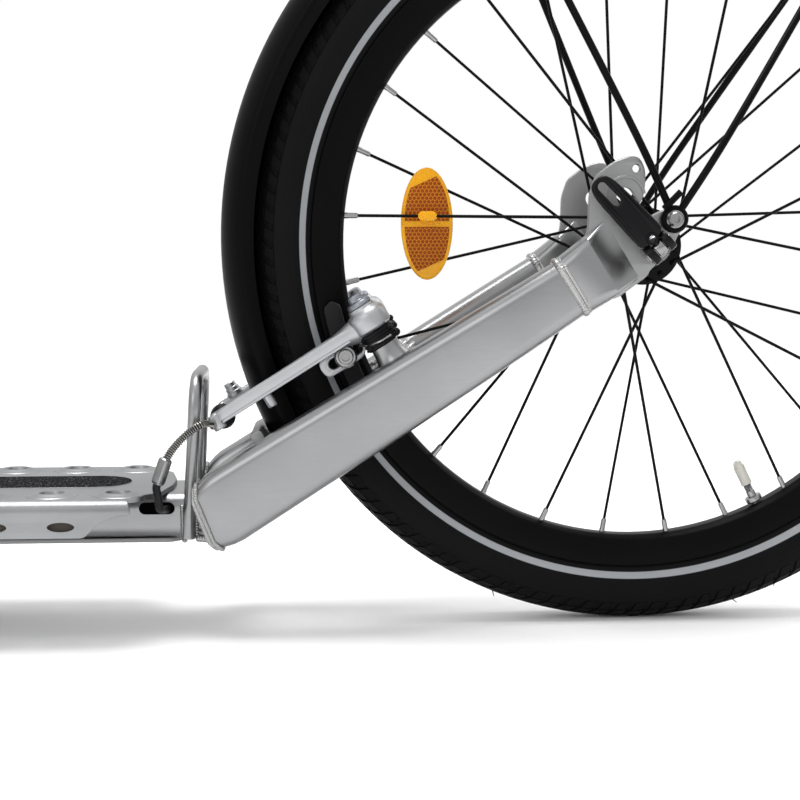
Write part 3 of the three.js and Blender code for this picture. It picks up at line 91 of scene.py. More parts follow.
class Sock:
    """Node socket on which shader maths is written as plain expressions."""

    def __init__(self, paint: "Graph", socket: bpy.types.NodeSocket) -> None:
        """Keeps the graph and the socket."""
        self.paint = paint
        self.socket = socket

    def _math(self, operation: str, *values: "Sock | float") -> "Sock":
        """Adds one Math node.

        Args:
            operation: the Math node's operation.
            values: sockets or numbers for its inputs.

        Returns:
            The node's result.
        """
        return self.paint.node("ShaderNodeMath", {"operation": operation}, *values)

    def __add__(self, other: "Sock | float") -> "Sock":
        """Sum."""
        return self._math("ADD", self, other)

    def __sub__(self, other: "Sock | float") -> "Sock":
        """Difference."""
        return self._math("SUBTRACT", self, other)

    def __rsub__(self, other: "Sock | float") -> "Sock":
        """Reflected difference."""
        return self._math("SUBTRACT", other, self)

    def __mul__(self, other: "Sock | float") -> "Sock":
        """Product."""
        return self._math("MULTIPLY", self, other)

    def __truediv__(self, other: "Sock | float") -> "Sock":
        """Quotient."""
        return self._math("DIVIDE", self, other)

    def __pow__(self, other: "Sock | float") -> "Sock":
        """Power."""
        return self._math("POWER", self, other)

    def __mod__(self, other: "Sock | float") -> "Sock":
        """Remainder that stays positive."""
        return self._math("FLOORED_MODULO", self, other)

    def abs(self) -> "Sock":
        """Size without its sign."""
        return self._math("ABSOLUTE", self)

    def low(self, other: "Sock | float") -> "Sock":
        """Smaller of two."""
        return self._math("MINIMUM", self, other)

    def high(self, other: "Sock | float") -> "Sock":
        """Larger of two."""
        return self._math("MAXIMUM", self, other)

    def step(self, start: float, end: float) -> "Sock":
        """Smooth step.

        Args:
            start: value at which the step leaves 0.
            end: value at which it reaches 1.

        Returns:
            A mask from 0 to 1.
        """
        return self.paint.node(
            "ShaderNodeMapRange", {"interpolation_type": "SMOOTHSTEP"}, self, start, end, 0.0, 1.0)

    def band(self, centre: float, half: float, soft: float) -> "Sock":
        """Mask of a band.

        Args:
            centre: value at the band's middle.
            half: half of its width.
            soft: width of its soft edge.

        Returns:
            1 inside the band and 0 outside it.
        """
        return 1.0 - (self - centre).abs().step(half, half + soft)


class Graph:
    """Node tree that is built by calls and expressions."""

    def __init__(self, tree: bpy.types.NodeTree) -> None:
        """Keeps the tree."""
        self.tree = tree

    def node(self, kind: str, settings: dict[str, object], *values: object, out: int | str = 0) -> Sock:
        """Adds a node.

        Args:
            kind: the node's type.
            settings: properties, set first.
            values: numbers, vectors or sockets for its inputs in order; None leaves one alone.
            out: index or name of the output to give back.

        Returns:
            The chosen output.
        """
        made = self.tree.nodes.new(kind)
        for key, value in settings.items():
            setattr(made, key, value)
        for socket, value in zip(made.inputs, values):
            if isinstance(value, Sock):
                self.tree.links.new(value.socket, socket)
            elif value is not None:
                socket.default_value = value
        return Sock(self, made.outputs[out])

    def ray(self, kind: str) -> Sock:
        """Mask of one kind of ray, by its name in Light Path."""
        return self.node("ShaderNodeLightPath", {}, out=f"Is {kind} Ray")

    def seen(self) -> Sock:
        """Mask of the rays that show the background: the camera's, and those off metal and through glass."""
        return self.ray("Camera").high(self.ray("Glossy")).high(self.ray("Transmission"))


class Painter(Graph):
    """Builds one material's node tree."""

    def __init__(self, name: str) -> None:
        """Starts an empty material.

        Args:
            name: the material's name.
        """
        self.material = bpy.data.materials.new(name)
        self.material.use_nodes = True
        super().__init__(self.material.node_tree)
        self.tree.nodes.clear()
        self.out = self.tree.nodes.new("ShaderNodeOutputMaterial")
        self.shader = self.tree.nodes.new("ShaderNodeBsdfPrincipled")
        self.tree.links.new(self.shader.outputs[0], self.out.inputs[0])

    def coords(self) -> Sock:
        """Object coordinates, in metres."""
        return self.node("ShaderNodeTexCoord", {}, out="Object")

    def axes(self) -> tuple[Sock, Sock, Sock]:
        """The three object coordinates by themselves."""
        split = self.node("ShaderNodeSeparateXYZ", {}, self.coords())
        return tuple(Sock(self, o) for o in split.socket.node.outputs)

    def noise(self, scale: float, stretch: tuple[float, float, float] = (1, 1, 1), detail: float = 3.0) -> Sock:
        """Noise in object space.

        Args:
            scale: waves per metre.
            stretch: factor on each axis.
            detail: octaves.

        Returns:
            A value near 0.5.
        """
        place = self.node("ShaderNodeMapping", {}, self.coords(), None, None, stretch)
        return self.node("ShaderNodeTexNoise", {}, place, None, scale, detail, 0.55)

    def mix(self, share: "Sock | float", a: object, b: object) -> Sock:
        """Mixes two colours.

        Args:
            share: share of the second.
            a: first colour.
            b: second colour.

        Returns:
            The mixed colour.
        """
        made = self.tree.nodes.new("ShaderNodeMix")
        made.data_type = "RGBA"
        for index, value in ((0, share), (6, a), (7, b)):
            if isinstance(value, Sock):
                self.tree.links.new(value.socket, made.inputs[index])
            elif index == 0:
                made.inputs[0].default_value = value
            else:
                made.inputs[index].default_value = (*value, 1.0)
        return Sock(self, made.outputs[2])

    def feed(self, socket: str, value: "Sock | float | tuple") -> None:
        """Feeds one of the shader's sockets.

        Args:
            socket: its name.
            value: a socket, a number or a colour.
        """
        target = self.shader.inputs[socket]
        if isinstance(value, Sock):
            self.tree.links.new(value.socket, target)
        elif isinstance(value, tuple):
            target.default_value = (*value, 1.0)
        else:
            target.default_value = value

    def bump(self, height: Sock, strength: float, distance: float) -> None:
        """Gives the surface a relief.

        Args:
            height: the relief, from 0 to 1.
            strength: its share.
            distance: its depth in metres.
        """
        node = self.node("ShaderNodeBump", {}, out="Normal").socket.node
        node.inputs["Strength"].default_value = strength
        node.inputs["Distance"].default_value = distance
        self.tree.links.new(height.socket, node.inputs["Height"])
        self.tree.links.new(node.outputs["Normal"], self.shader.inputs["Normal"])


PLAIN_SPECULAR = 0.5
IOR_GAIN = 1.22  # added to the index of refraction for each unit of specular
CLOUD_SCALE = 14.0
COAT_ROUGHNESS = 0.12
GRIT_SCALE = 1300.0


@dataclass(frozen=True)
class Finish:
    """Surface of one kind, with its colour, gloss, grain and wear."""

    name: str
    color: tuple[float, float, float]
    slot: str
    metallic: float = 0.0
    roughness: float = 0.5
    coat: float = 0.0
    grain: float = 0.1
    grain_scale: float = 900.0
    depth: float = 0.0001
    mottle: float = 0.12
    lay: Lay = Lay.NONE
    specular: float = PLAIN_SPECULAR

    def material(self) -> bpy.types.Material:
        """The material, made once."""
        return bpy.data.materials.get(self.name) or self.build()

    def build(self) -> bpy.types.Material:
        """Builds the material.

        Returns:
            The material.
        """
        paint = Painter(self.name)
        broad = paint.noise(CLOUD_SCALE, detail=4.0)
        fine = paint.noise(self.grain_scale, self.lay.value, 2.0)
        paint.feed("Base Color", self.tint(paint, broad, fine))
        paint.feed("Metallic", self.metallic)
        if self.specular < PLAIN_SPECULAR:
            paint.feed("IOR", 1.0 + IOR_GAIN * self.specular)
        paint.feed("Roughness", self.gloss(paint, broad, fine))
        if self.coat:
            paint.feed("Coat Weight", self.coat)
            paint.feed("Coat Roughness", COAT_ROUGHNESS)
        paint.bump(self.relief(paint, broad, fine), self.grain, self.depth)
        return paint.material

    def tint(self, paint: Painter, broad: Sock, fine: Sock) -> Sock:
        """Colour with soft clouds and a little grain.

        Args:
            paint: the painter.
            broad: slow noise.
            fine: fine noise.

        Returns:
            The colour.
        """
        dark = tuple(c * (1 - self.mottle) for c in self.color)
        light = tuple(min(1.0, c * (1 + self.mottle)) for c in self.color)
        return paint.mix((broad * 0.8 + fine * 0.2).step(0.3, 0.7), dark, light)

    def gloss(self, paint: Painter, broad: Sock, fine: Sock) -> "Sock | float":
        """Roughness.

        Args:
            paint: the painter; not used.
            broad: slow noise.
            fine: fine noise.

        Returns:
            Roughness over the surface.
        """
        return (broad - 0.5) * (0.5 * self.mottle) + (fine - 0.5) * (0.6 * self.mottle) + self.roughness

    def relief(self, paint: Painter, broad: Sock, fine: Sock) -> Sock:
        """Height of the surface.

        Args:
            paint: the painter; not used.
            broad: slow noise; not used.
            fine: fine noise.

        Returns:
            The relief.
        """
        return fine


@dataclass(frozen=True)
class TyreFinish(Finish):
    """Tyre rubber with a grey reflective ring on each side."""

    centre: tuple[float, float] = (SHIFT / 1000, HUB_Z / 1000)
    stripe: float = 0.213
    half: float = 0.0017

    def radius(self, paint: Painter) -> Sock:
        """Distance from the wheel's axis.

        Args:
            paint: the painter.

        Returns:
            The distance in metres.
        """
        x, _, z = paint.axes()
        dx, dz = x - self.centre[0], z - self.centre[1]
        return (dx * dx + dz * dz) ** 0.5

    def tint(self, paint: Painter, broad: Sock, fine: Sock) -> Sock:
        """Rubber, with the ring's grey.

        Args:
            paint: the painter.
            broad: slow noise.
            fine: fine noise.

        Returns:
            The colour.
        """
        base = super().tint(paint, broad, fine)
        ring = self.radius(paint).band(self.stripe, self.half, 0.0004)
        return paint.mix(ring, base, (0.30, 0.31, 0.325))


@dataclass(frozen=True)
class GritFinish(Finish):
    """Grip tape: dark grit, with a few grains painted bright as glints."""

    def grains(self, paint: Painter, out: str) -> Sock:
        """One output of the pattern of grains."""
        return paint.node("ShaderNodeTexVoronoi", {"feature": "F1"}, paint.coords(), None, GRIT_SCALE, out=out)

    def tint(self, paint: Painter, broad: Sock, fine: Sock) -> Sock:
        """Dark grains of uneven grey, with a few painted bright as glints.

        Args:
            paint: the painter.
            broad: slow noise; not used.
            fine: fine noise; not used.

        Returns:
            The colour.
        """
        shade = paint.node("ShaderNodeSeparateColor", {}, self.grains(paint, "Color"))
        dark, light = (tuple(c * k for c in self.color) for k in (0.45, 1.9))
        base = paint.mix(shade.step(0.15, 0.95), dark, light)
        # painted glints: the brightest few grains are turned pale grey
        return paint.mix(shade.step(0.95, 0.98), base, (0.22, 0.22, 0.23))

    def relief(self, paint: Painter, broad: Sock, fine: Sock) -> Sock:
        """Grains."""
        return 1.0 - self.grains(paint, "Distance")


@dataclass(frozen=True)
class WeldFinish(Finish):
    """Bare weld metal with slight random stains."""

    def tint(self, paint: Painter, broad: Sock, fine: Sock) -> Sock:
        """Bright and slightly stained metal."""
        base = super().tint(paint, broad, fine)
        return paint.mix(paint.noise(160.0).step(0.55, 0.75) * 0.35, base, (0.33, 0.31, 0.29))


@dataclass(frozen=True)
class HoneycombFinish(Finish):
    """Amber lens with a honeycomb of small prisms on its panels."""

    cell: float = 0.0026

    def cells(self, paint: Painter) -> Sock:
        """Distance to the nearest prism's middle, as a share of a cell.

        Args:
            paint: the painter.

        Returns:
            The distance.
        """
        x, _, z = paint.axes()
        first, second = (self._lattice(x, z, offset) for offset in (0.0, 0.5))
        return first.low(second) / self.cell

    def _lattice(self, x: Sock, z: Sock, offset: float) -> Sock:
        """Distance to one of the two lattices that make the honeycomb.

        Args:
            x: first coordinate.
            z: second coordinate.
            offset: shift of the lattice, in cells.

        Returns:
            The distance in metres.
        """
        tall = self.cell * math.sqrt(3.0)
        u = ((x / self.cell + offset) % 1.0 - 0.5) * self.cell
        v = ((z / tall + offset) % 1.0 - 0.5) * tall
        return (u * u + v * v) ** 0.5

    def tint(self, paint: Painter, broad: Sock, fine: Sock) -> Sock:
        """Deep orange cells with lighter rims."""
        rim = self.cells(paint).step(0.36, 0.5)
        return paint.mix(rim, self.color, (0.55, 0.19, 0.008))

    def relief(self, paint: Painter, broad: Sock, fine: Sock) -> Sock:
        """Prisms."""
        return 1.0 - self.cells(paint)


ALU = Finish("frame_aluminium", (0.298, 0.30, 0.305), "polished_aluminium", 1.0, 0.30, grain=0.16,
             grain_scale=700, mottle=0.07, lay=Lay.ALONG_X)
ALU_DROP = Finish("forged_aluminium", (0.30, 0.302, 0.303), "polished_aluminium", 1.0, 0.42, grain=0.12, mottle=0.08)
ALU_SHEET = Finish("sheet_aluminium", (0.285, 0.29, 0.297), "polished_aluminium", 1.0, 0.40, grain=0.2,
                   grain_scale=600, mottle=0.1, lay=Lay.ALONG_X)
ALU_PLAIN = Finish("plate_aluminium", (0.24, 0.24, 0.243), "plain_aluminium", 1.0, 0.45)
WELD = WeldFinish("weld_bead", (0.40, 0.40, 0.397), "polished_aluminium", 1.0, 0.34, grain=0.3, grain_scale=400)
BRAKE = Finish("forged_brake_silver", (0.43, 0.436, 0.448), "brake_aluminium", 1.0, 0.42, grain=0.08, mottle=0.05)
STEEL = Finish("plated_steel", (0.31, 0.31, 0.312), "bright_steel", 1.0, 0.24, grain=0.05, mottle=0.08)
CHROME = Finish("guide_steel", (0.24, 0.232, 0.215), "bright_chrome", 1.0, 0.24, grain=0.05, mottle=0.12)
RUBBER = Finish("pad_rubber", (0.012, 0.012, 0.013), "rubber", 0.0, 0.6, grain=0.3, grain_scale=500, specular=0.2)
BOOT = Finish("boot_rubber", (0.004, 0.004, 0.005), "rubber_boot", 0.0, 0.42, grain=0.2, specular=0.2)
SPRING_BLACK = Finish("spring_housing", (0.003, 0.003, 0.004), "rubber_boot", 0.0, 0.34, grain=0.1, specular=0.2)
RIM = Finish("rim_black", (0.002, 0.002, 0.002), "black_rim", 0.0, 0.34, grain=0.05, mottle=0.2, specular=0.12)
ANODISED = Finish("anodised_black", (0.004, 0.004, 0.005), "black_anodised", 0.0, 0.30, grain=0.05, specular=0.2)
GUARD = Finish("mudguard_black", (0.002, 0.002, 0.0025), "mudguard_plastic", 0.0, 0.36, grain=0.06, specular=0.11)
WIRE = Finish("wire_black", (0.002, 0.002, 0.002), "black_wire", 0.0, 0.36, grain=0.0, specular=0.14)
HOUSING = Finish("housing_black", (0.004, 0.004, 0.005), "cable_housing", 0.0, 0.36, grain=0.05, specular=0.25)
GRIP = Finish("grip_rubber", (0.012, 0.012, 0.013), "rubber", 0.0, 0.62, grain=0.4, grain_scale=450, specular=0.25)
TAPE = GritFinish("tape_grit", (0.022, 0.022, 0.024), "grip_tape", 0.0, 0.92, grain=1.0, depth=0.0009, specular=0.0)
CLEAR_CAP = Finish("valve_cap", (0.50, 0.49, 0.44), "bright_chrome", 0.0, 0.12, coat=0.4, mottle=0.05)
AMBER = Finish("amber_clear", (0.80, 0.36, 0.004), "amber_plastic", 0.0, 0.16, grain=0.03, mottle=0.06, specular=0.3)
AMBER_CELLS = HoneycombFinish("amber_prisms", (0.27, 0.052, 0.003), "amber_plastic", 0.0, 0.24,
                              grain=0.7, depth=0.0007, specular=0.2)
ZINC = Finish("zinc_cap", (0.27, 0.285, 0.31), "bright_steel", 1.0, 0.42, grain=0.05, mottle=0.06)
# Painted shade: thin brown-grey plates just inside the board's flange slots stand in for the shade seen through them.
PAINTED_SLOT_SHADE = Finish("flange_inside", (0.075, 0.068, 0.060), "polished_aluminium", 0.0, 0.8, specular=0.1)
# Painted shade: black plates inside the frame's openings stand in for the shade in them.
PAINTED_OPENING_SHADE = Finish("inner_shadow", (0.002, 0.002, 0.002), "polished_aluminium", 0.0, 0.9, specular=0.05)


# ---- outlines and paths


def mix(a: float, b: float, share: float) -> float:
    """Value at a share of the way from a to b."""
    return a + (b - a) * share


def ease(share: float) -> float:
    """Soft start and end."""
    return share * share * (3 - 2 * share)


def spread(n: int, a: float = 0.0, b: float = 1.0) -> list[float]:
    """Evenly spaced values from a to b."""
    return [mix(a, b, i / (n - 1)) for i in range(n)]


def arc(cx: float, cy: float, r: float, start: float, end: float, steps: int) -> list[tuple[float, float]]:
    """Points of an arc, angles in degrees."""
    return [(cx + r * math.cos(t * DEG), cy + r * math.sin(t * DEG)) for t in spread(steps + 1, start, end)]


def circle(cx: float, cy: float, r: float, sides: int = 32) -> list[tuple[float, float]]:
    """Closed circle."""
    return arc(cx, cy, r, 0, 360 - 360 / sides, sides - 1)


def slot_line(cx: float, cy: float, length: float, width: float, turn: float = 0.0, steps: int = 10) -> list:
    """Outline of a slot with round ends.

    Args:
        cx: its middle.
        cy: its middle.
        length: over the ends.
        width: across.
        turn: its angle in degrees.
        steps: steps on each end.

    Returns:
        The outline's points.
    """
    half = (length - width) / 2
    raw = arc(half, 0, width / 2, -90, 90, steps) + arc(-half, 0, width / 2, 90, 270, steps)
    c, s = math.cos(turn * DEG), math.sin(turn * DEG)
    return [(cx + x * c - y * s, cy + x * s + y * c) for x, y in raw]


def box_line(width: float, height: float, corner: float, steps: int = 6) -> list[tuple[float, float]]:
    """Rectangle with round corners.

    Args:
        width: its whole width.
        height: its whole height.
        corner: radius of its corners.
        steps: steps in a corner.

    Returns:
        The outline.
    """
    x, y = width / 2 - corner, height / 2 - corner
    corners = ((x, y, 0), (-x, y, 90), (-x, -y, 180), (x, -y, 270))
    return [p for cx, cy, a in corners for p in arc(cx, cy, corner, a, a + 90, steps)]


def soften(points: list, reach: float, steps: int = 4) -> list[tuple[float, float]]:
    """Closed outline with a bend in place of each corner.

    Args:
        points: its corners.
        reach: where a bend starts before its corner.
        steps: steps in a bend.

    Returns:
        The outline.
    """
    out, n = [], len(points)
    for i in range(n):
        before, at, after = (Vector(points[(i + k) % n]) for k in (-1, 0, 1))
        a = at + (before - at) * min(0.5, reach / (before - at).length)
        b = at + (after - at) * min(0.5, reach / (after - at).length)
        for t in spread(steps + 1):
            q = a * (1 - t) ** 2 + at * (2 * t * (1 - t)) + b * t * t
            out.append((q.x, q.y))
    return [p for i, p in enumerate(out) if (Vector(p) - Vector(out[i - 1])).length > 1e-3]


def mirrored(half: list) -> list[tuple[float, float]]:
    """Outline from one half, with the other half its mirror image in the second coordinate."""
    return half + [(a, -b) for a, b in half[::-1]]


def clip(points: list, nx: float, ny: float, most: float) -> list[tuple[float, float]]:
    """Part of an outline on one side of a line, where x * nx + y * ny is at most the given value.

    Args:
        points: the outline.
        nx: first part of the line's normal.
        ny: second part.
        most: largest value that stays.

    Returns:
        What is left of the outline.
    """
    out = []
    for i, b in enumerate(points):
        a = points[i - 1]
        da, db = a[0] * nx + a[1] * ny - most, b[0] * nx + b[1] * ny - most
        if da * db < 0:
            out.append((mix(a[0], b[0], da / (da - db)), mix(a[1], b[1], da / (da - db))))
        if db <= 0:
            out.append(b)
    return out


def bent(points: list, reach: float, steps: int = 8) -> list[Vector]:
    """Open path with a bend in place of each inner corner.

    Args:
        points: its corners in space.
        reach: where a bend starts before its corner.
        steps: steps in a bend.

    Returns:
        The path.
    """
    at = [Vector(p) for p in points]
    out = [at[0]]
    for i in range(1, len(at) - 1):
        a = at[i] + (at[i - 1] - at[i]).normalized() * reach
        b = at[i] + (at[i + 1] - at[i]).normalized() * reach
        out += [a * (1 - t) ** 2 + at[i] * (2 * t * (1 - t)) + b * t * t for t in spread(steps + 1)]
    return out + [at[-1]]


def flowing(points: list, steps: int) -> list[Vector]:
    """Centripetal Catmull-Rom curve through points, evenly stepped.

    Args:
        points: places that it passes.
        steps: steps along it.

    Returns:
        The path.
    """
    p = [Vector(q) for q in points]
    p = [p[0] * 2 - p[1], *p, p[-1] * 2 - p[-2]]
    fine: list[Vector] = []
    for i in range(1, len(p) - 2):
        a, b, c, d = p[i - 1:i + 3]
        t0 = 0.0
        t1 = t0 + max((b - a).length, 1e-6) ** 0.5
        t2 = t1 + max((c - b).length, 1e-6) ** 0.5
        t3 = t2 + max((d - c).length, 1e-6) ** 0.5
        for t in spread(25, t1, t2)[(0 if i == 1 else 1):]:
            a1 = a * ((t1 - t) / (t1 - t0)) + b * ((t - t0) / (t1 - t0))
            a2 = b * ((t2 - t) / (t2 - t1)) + c * ((t - t1) / (t2 - t1))
            a3 = c * ((t3 - t) / (t3 - t2)) + d * ((t - t2) / (t3 - t2))
            b1 = a1 * ((t2 - t) / (t2 - t0)) + a2 * ((t - t0) / (t2 - t0))
            b2 = a2 * ((t3 - t) / (t3 - t1)) + a3 * ((t - t1) / (t3 - t1))
            fine.append(b1 * ((t2 - t) / (t2 - t1)) + b2 * ((t - t1) / (t2 - t1)))
    return stepped(fine, steps)


def stepped(path: list[Vector], steps: int) -> list[Vector]:
    """Path with evenly spaced points.

    Args:
        path: any path.
        steps: steps along it.

    Returns:
        The new path.
    """
    run = [0.0]
    for a, b in zip(path, path[1:]):
        run.append(run[-1] + (b - a).length)
    out, k = [], 0
    for want in spread(steps + 1, 0.0, run[-1]):
        while k < len(path) - 2 and run[k + 1] < want:
            k += 1
        share = (want - run[k]) / max(run[k + 1] - run[k], 1e-9)
        out.append(path[k].lerp(path[k + 1], min(1.0, share)))
    return out


def around(ring: list[Vector], steps: int) -> list[Vector]:
    """Evenly stepped closed path round a ring."""
    return stepped([*ring, ring[0]], steps)[:-1]


def length_of(path: list[Vector]) -> float:
    """Length of a path."""
    return sum((b - a).length for a, b in zip(path, path[1:]))


def axis_frame(at: Vector, way: Vector) -> Matrix:
    """Frame at a point whose Y runs along a direction."""
    turn = Vector((0, 1, 0)).rotation_difference(Vector(way).normalized()).to_matrix().to_4x4()
    return Matrix.Translation(at) @ turn


ORIGIN = Vector((0, 0, 0))
UPRIGHT = axis_frame(ORIGIN, Vector((0, 0, 1)))
OUTWARDS = axis_frame(ORIGIN, Vector((1, 0, 0)))
STANDING = Matrix(((1, 0, 0, 0), (0, 0, 1, 0), (0, 1, 0, 0), (0, 0, 0, 1)))
TO_METRES = Matrix.Translation((SHIFT / 1000, 0, 0)) @ Matrix.Scale(0.001, 4)


def metres(p: "tuple | Vector") -> tuple[float, float, float]:
    """Place in the CAD's frame, in metres."""
    return ((p[0] + SHIFT) / 1000, p[1] / 1000, p[2] / 1000)


@dataclass(frozen=True)
class Bend:
    """Two joined bodies between which a piece runs, with the places where it leaves one and reaches the other."""

    first: str
    second: str
    start: "tuple | Vector"
    end: "tuple | Vector"

    def hold(self, obj: bpy.types.Object) -> None:
        """Bakes the object's transform into its mesh; the object is attached to neither body."""
        metres(self.start)
        metres(self.end)
        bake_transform(obj)


# ---- meshes


def baked(obj: bpy.types.Object) -> bpy.types.Mesh:
    """Mesh of an object with its modifiers applied; the object is removed.

    Args:
        obj: a scratch object.

    Returns:
        The plain mesh.
    """
    bpy.context.scene.collection.objects.link(obj)
    graph = bpy.context.evaluated_depsgraph_get()
    mesh = bpy.data.meshes.new_from_object(obj.evaluated_get(graph))
    bpy.data.objects.remove(obj)
    return mesh


class Shell:
    """Mesh under construction, in millimetres of the bike's frame."""

    def __init__(self, verts: list | None = None, faces: list | None = None) -> None:
        """Starts from vertices and faces, or empty."""
        self.verts = [Vector(v) for v in verts or []]
        self.faces = [list(f) for f in faces or []]

    @classmethod
    def read(cls, mesh: bpy.types.Mesh) -> "Shell":
        """Shell of a scratch mesh, which is removed.

        Args:
            mesh: the scratch mesh.

        Returns:
            The shell.
        """
        shell = cls([v.co for v in mesh.vertices], [list(f.vertices) for f in mesh.polygons])
        bpy.data.meshes.remove(mesh)
        return shell

    @classmethod
    def loft(cls, rings: list, closed: bool = False) -> "Shell":
        """Skins a row of rings.

        Args:
            rings: rings with the same number of points.
            closed: whether the last ring meets the first; otherwise both ends get a face.

        Returns:
            The shell.
        """
        n, rows = len(rings[0]), len(rings)
        faces = []
        for k in range(rows if closed else rows - 1):
            a, b = k * n, ((k + 1) % rows) * n
            faces += [[a + i, a + (i + 1) % n, b + (i + 1) % n, b + i] for i in range(n)]
        if not closed:
            faces += [list(range(n))[::-1], [(rows - 1) * n + i for i in range(n)]]
        return cls([p for ring in rings for p in ring], faces)

    @classmethod
    def tube(cls, path: list, radius: "float | list[float]", sides: int = 16, loop: bool = False) -> "Shell":
        """Round tube along a path.

        Args:
            path: its middle line.
            radius: one radius or one for each point.
            sides: sides round it.
            loop: whether it closes on itself.

        Returns:
            The shell.
        """
        at = [Vector(p) for p in path]
        radii = radius if isinstance(radius, list) else [radius] * len(at)
        last = len(at) - 1
        rings, across = [], None
        for i, p in enumerate(at):
            a = at[i - 1] if i or loop else p
            b = at[(i + 1) % len(at)] if i < last or loop else p
            way = (b - a).normalized()
            if across is None:
                across = Vector((0, 1, 0)) if abs(way.y) < 0.9 else Vector((1, 0, 0))
            across = (across - way * across.dot(way)).normalized()
            up = way.cross(across)
            rings.append([p + across * x + up * y for x, y in circle(0, 0, radii[i], sides)])
        return cls.loft(rings, closed=loop)

    @classmethod
    def turned(cls, profile: list, sides: int = 48, ring: bool = False) -> "Shell":
        """Turns a profile about the local Y axis.

        Args:
            profile: points as radius and height.
            sides: steps round.
            ring: whether the profile closes on itself, off the axis.

        Returns:
            The shell.
        """
        rings = [[(r * math.cos(t), h, r * math.sin(t)) for r, h in profile]
                 for t in (2 * math.pi * i / sides for i in range(sides))]
        shell = cls.loft(rings, closed=True)
        if not ring:
            n = len(profile)
            shell.faces = [f for f in shell.faces if {f[0] % n, f[1] % n} != {0, n - 1}]
        return shell

    @classmethod
    def knob(cls, profile: list, sides: int, at: Vector, way: Vector) -> "Shell":
        """Turned form on a point, its axis along a direction."""
        return cls.turned(profile, sides).moved(axis_frame(at, way))

    @classmethod
    def bolt(cls, a: tuple, b: tuple, r: float, edge: float = 0.5, sides: int = 32) -> "Shell":
        """Round bar with eased edges.

        Args:
            a: one end.
            b: other end.
            r: its radius.
            edge: size of the eased edge.
            sides: steps round.

        Returns:
            The shell.
        """
        start, end = Vector(a), Vector(b)
        h = (end - start).length
        profile = [(0, 0), (r - edge, 0), (r - edge * 0.3, edge * 0.3), (r, edge), (r, h - edge),
                   (r - edge * 0.3, h - edge * 0.3), (r - edge, h), (0, h)]
        return cls.knob(profile, sides, start, end - start)

    @classmethod
    def plate(cls, line: list, low: float, high: float, holes: list | None = None, edge: float = 0.5) -> "Shell":
        """Flat plate with rounded edges, its outline in local X and Y, its thickness in Z.

        Args:
            line: the outline.
            low: underside.
            high: upper side.
            holes: outlines of its holes.
            edge: radius of its edges.

        Returns:
            The shell.
        """
        curve = bpy.data.curves.new("plate", "CURVE")
        curve.dimensions = "2D"
        curve.fill_mode = "BOTH"
        curve.extrude = (high - low) / 2 - edge
        curve.bevel_depth = edge
        curve.bevel_resolution = 2
        curve.offset = -edge
        for loop in [line, *(holes or [])]:
            spline = curve.splines.new("POLY")
            spline.points.add(len(loop) - 1)
            spline.points.foreach_set("co", [v for x, y in loop for v in (x, y, 0.0, 1.0)])
            spline.use_cyclic_u = True
        shell = cls.read(baked(bpy.data.objects.new("plate", curve)))
        return shell.moved(Matrix.Translation((0, 0, (low + high) / 2)))

    @classmethod
    def side_plate(cls, line: list, side: Side, near: float, far: float, holes: list | None = None,
                   edge: float = 0.5) -> "Shell":
        """Plate standing in XZ on one side, given by its distances from the middle.

        Args:
            line: outline in X and Z.
            side: side of the bike.
            near: inner face.
            far: outer face.
            holes: outlines of its holes.
            edge: radius of its edges.

        Returns:
            The shell.
        """
        low, high = sorted((side.value * near, side.value * far))
        return cls.plate(line, low, high, holes, edge).moved(STANDING)

    def moved(self, matrix: Matrix) -> "Shell":
        """Copy under a matrix."""
        return Shell([matrix @ v for v in self.verts], self.faces)

    def mirrored(self) -> "Shell":
        """Copy on the other side of the bike."""
        return Shell([(v.x, -v.y, v.z) for v in self.verts], [f[::-1] for f in self.faces])

    def on(self, side: Side) -> "Shell":
        """This shell, made on the right, on one side of the bike."""
        return self if side is Side.RIGHT else self.mirrored()

    def join(self, *others: "Shell") -> "Shell":
        """This shell with others.

        Args:
            others: shells to add.

        Returns:
            One shell of all.
        """
        out = Shell(self.verts, self.faces)
        for other in others:
            base = len(out.verts)
            out.verts += other.verts
            out.faces += [[base + i for i in f] for f in other.faces]
        return out

    def warped(self, rule: Callable[[Vector], Vector]) -> "Shell":
        """Copy with each vertex moved by a rule."""
        return Shell([rule(v) for v in self.verts], self.faces)

    def mesh(self, name: str) -> bpy.types.Mesh:
        """Plain mesh with merged doubles and outward faces.

        Args:
            name: its name.

        Returns:
            The mesh.
        """
        mesh = bpy.data.meshes.new(name)
        mesh.from_pydata(self.verts, [], self.faces)
        work = bmesh.new()
        work.from_mesh(mesh)
        bmesh.ops.remove_doubles(work, verts=work.verts, dist=2e-3)
        bmesh.ops.dissolve_degenerate(work, edges=work.edges, dist=1e-4)
        bmesh.ops.recalc_face_normals(work, faces=work.faces)
        work.to_mesh(mesh)
        work.free()
        return mesh

    def minus(self, *tools: "Shell") -> "Shell":
        """This closed shell with others cut from it.

        Args:
            tools: closed shells.

        Returns:
            The cut shell.
        """
        body = bpy.data.objects.new("body", self.mesh("body"))
        cutters = []
        for tool in tools:
            cutter = bpy.data.objects.new("tool", tool.mesh("tool"))
            bpy.context.scene.collection.objects.link(cutter)
            cut = body.modifiers.new("cut", "BOOLEAN")
            cut.operation = "DIFFERENCE"
            cut.solver = "EXACT"
            cut.object = cutter
            cutters.append(cutter)
        mesh = baked(body)
        for cutter in cutters:
            bpy.data.objects.remove(cutter)
        return Shell.read(mesh)

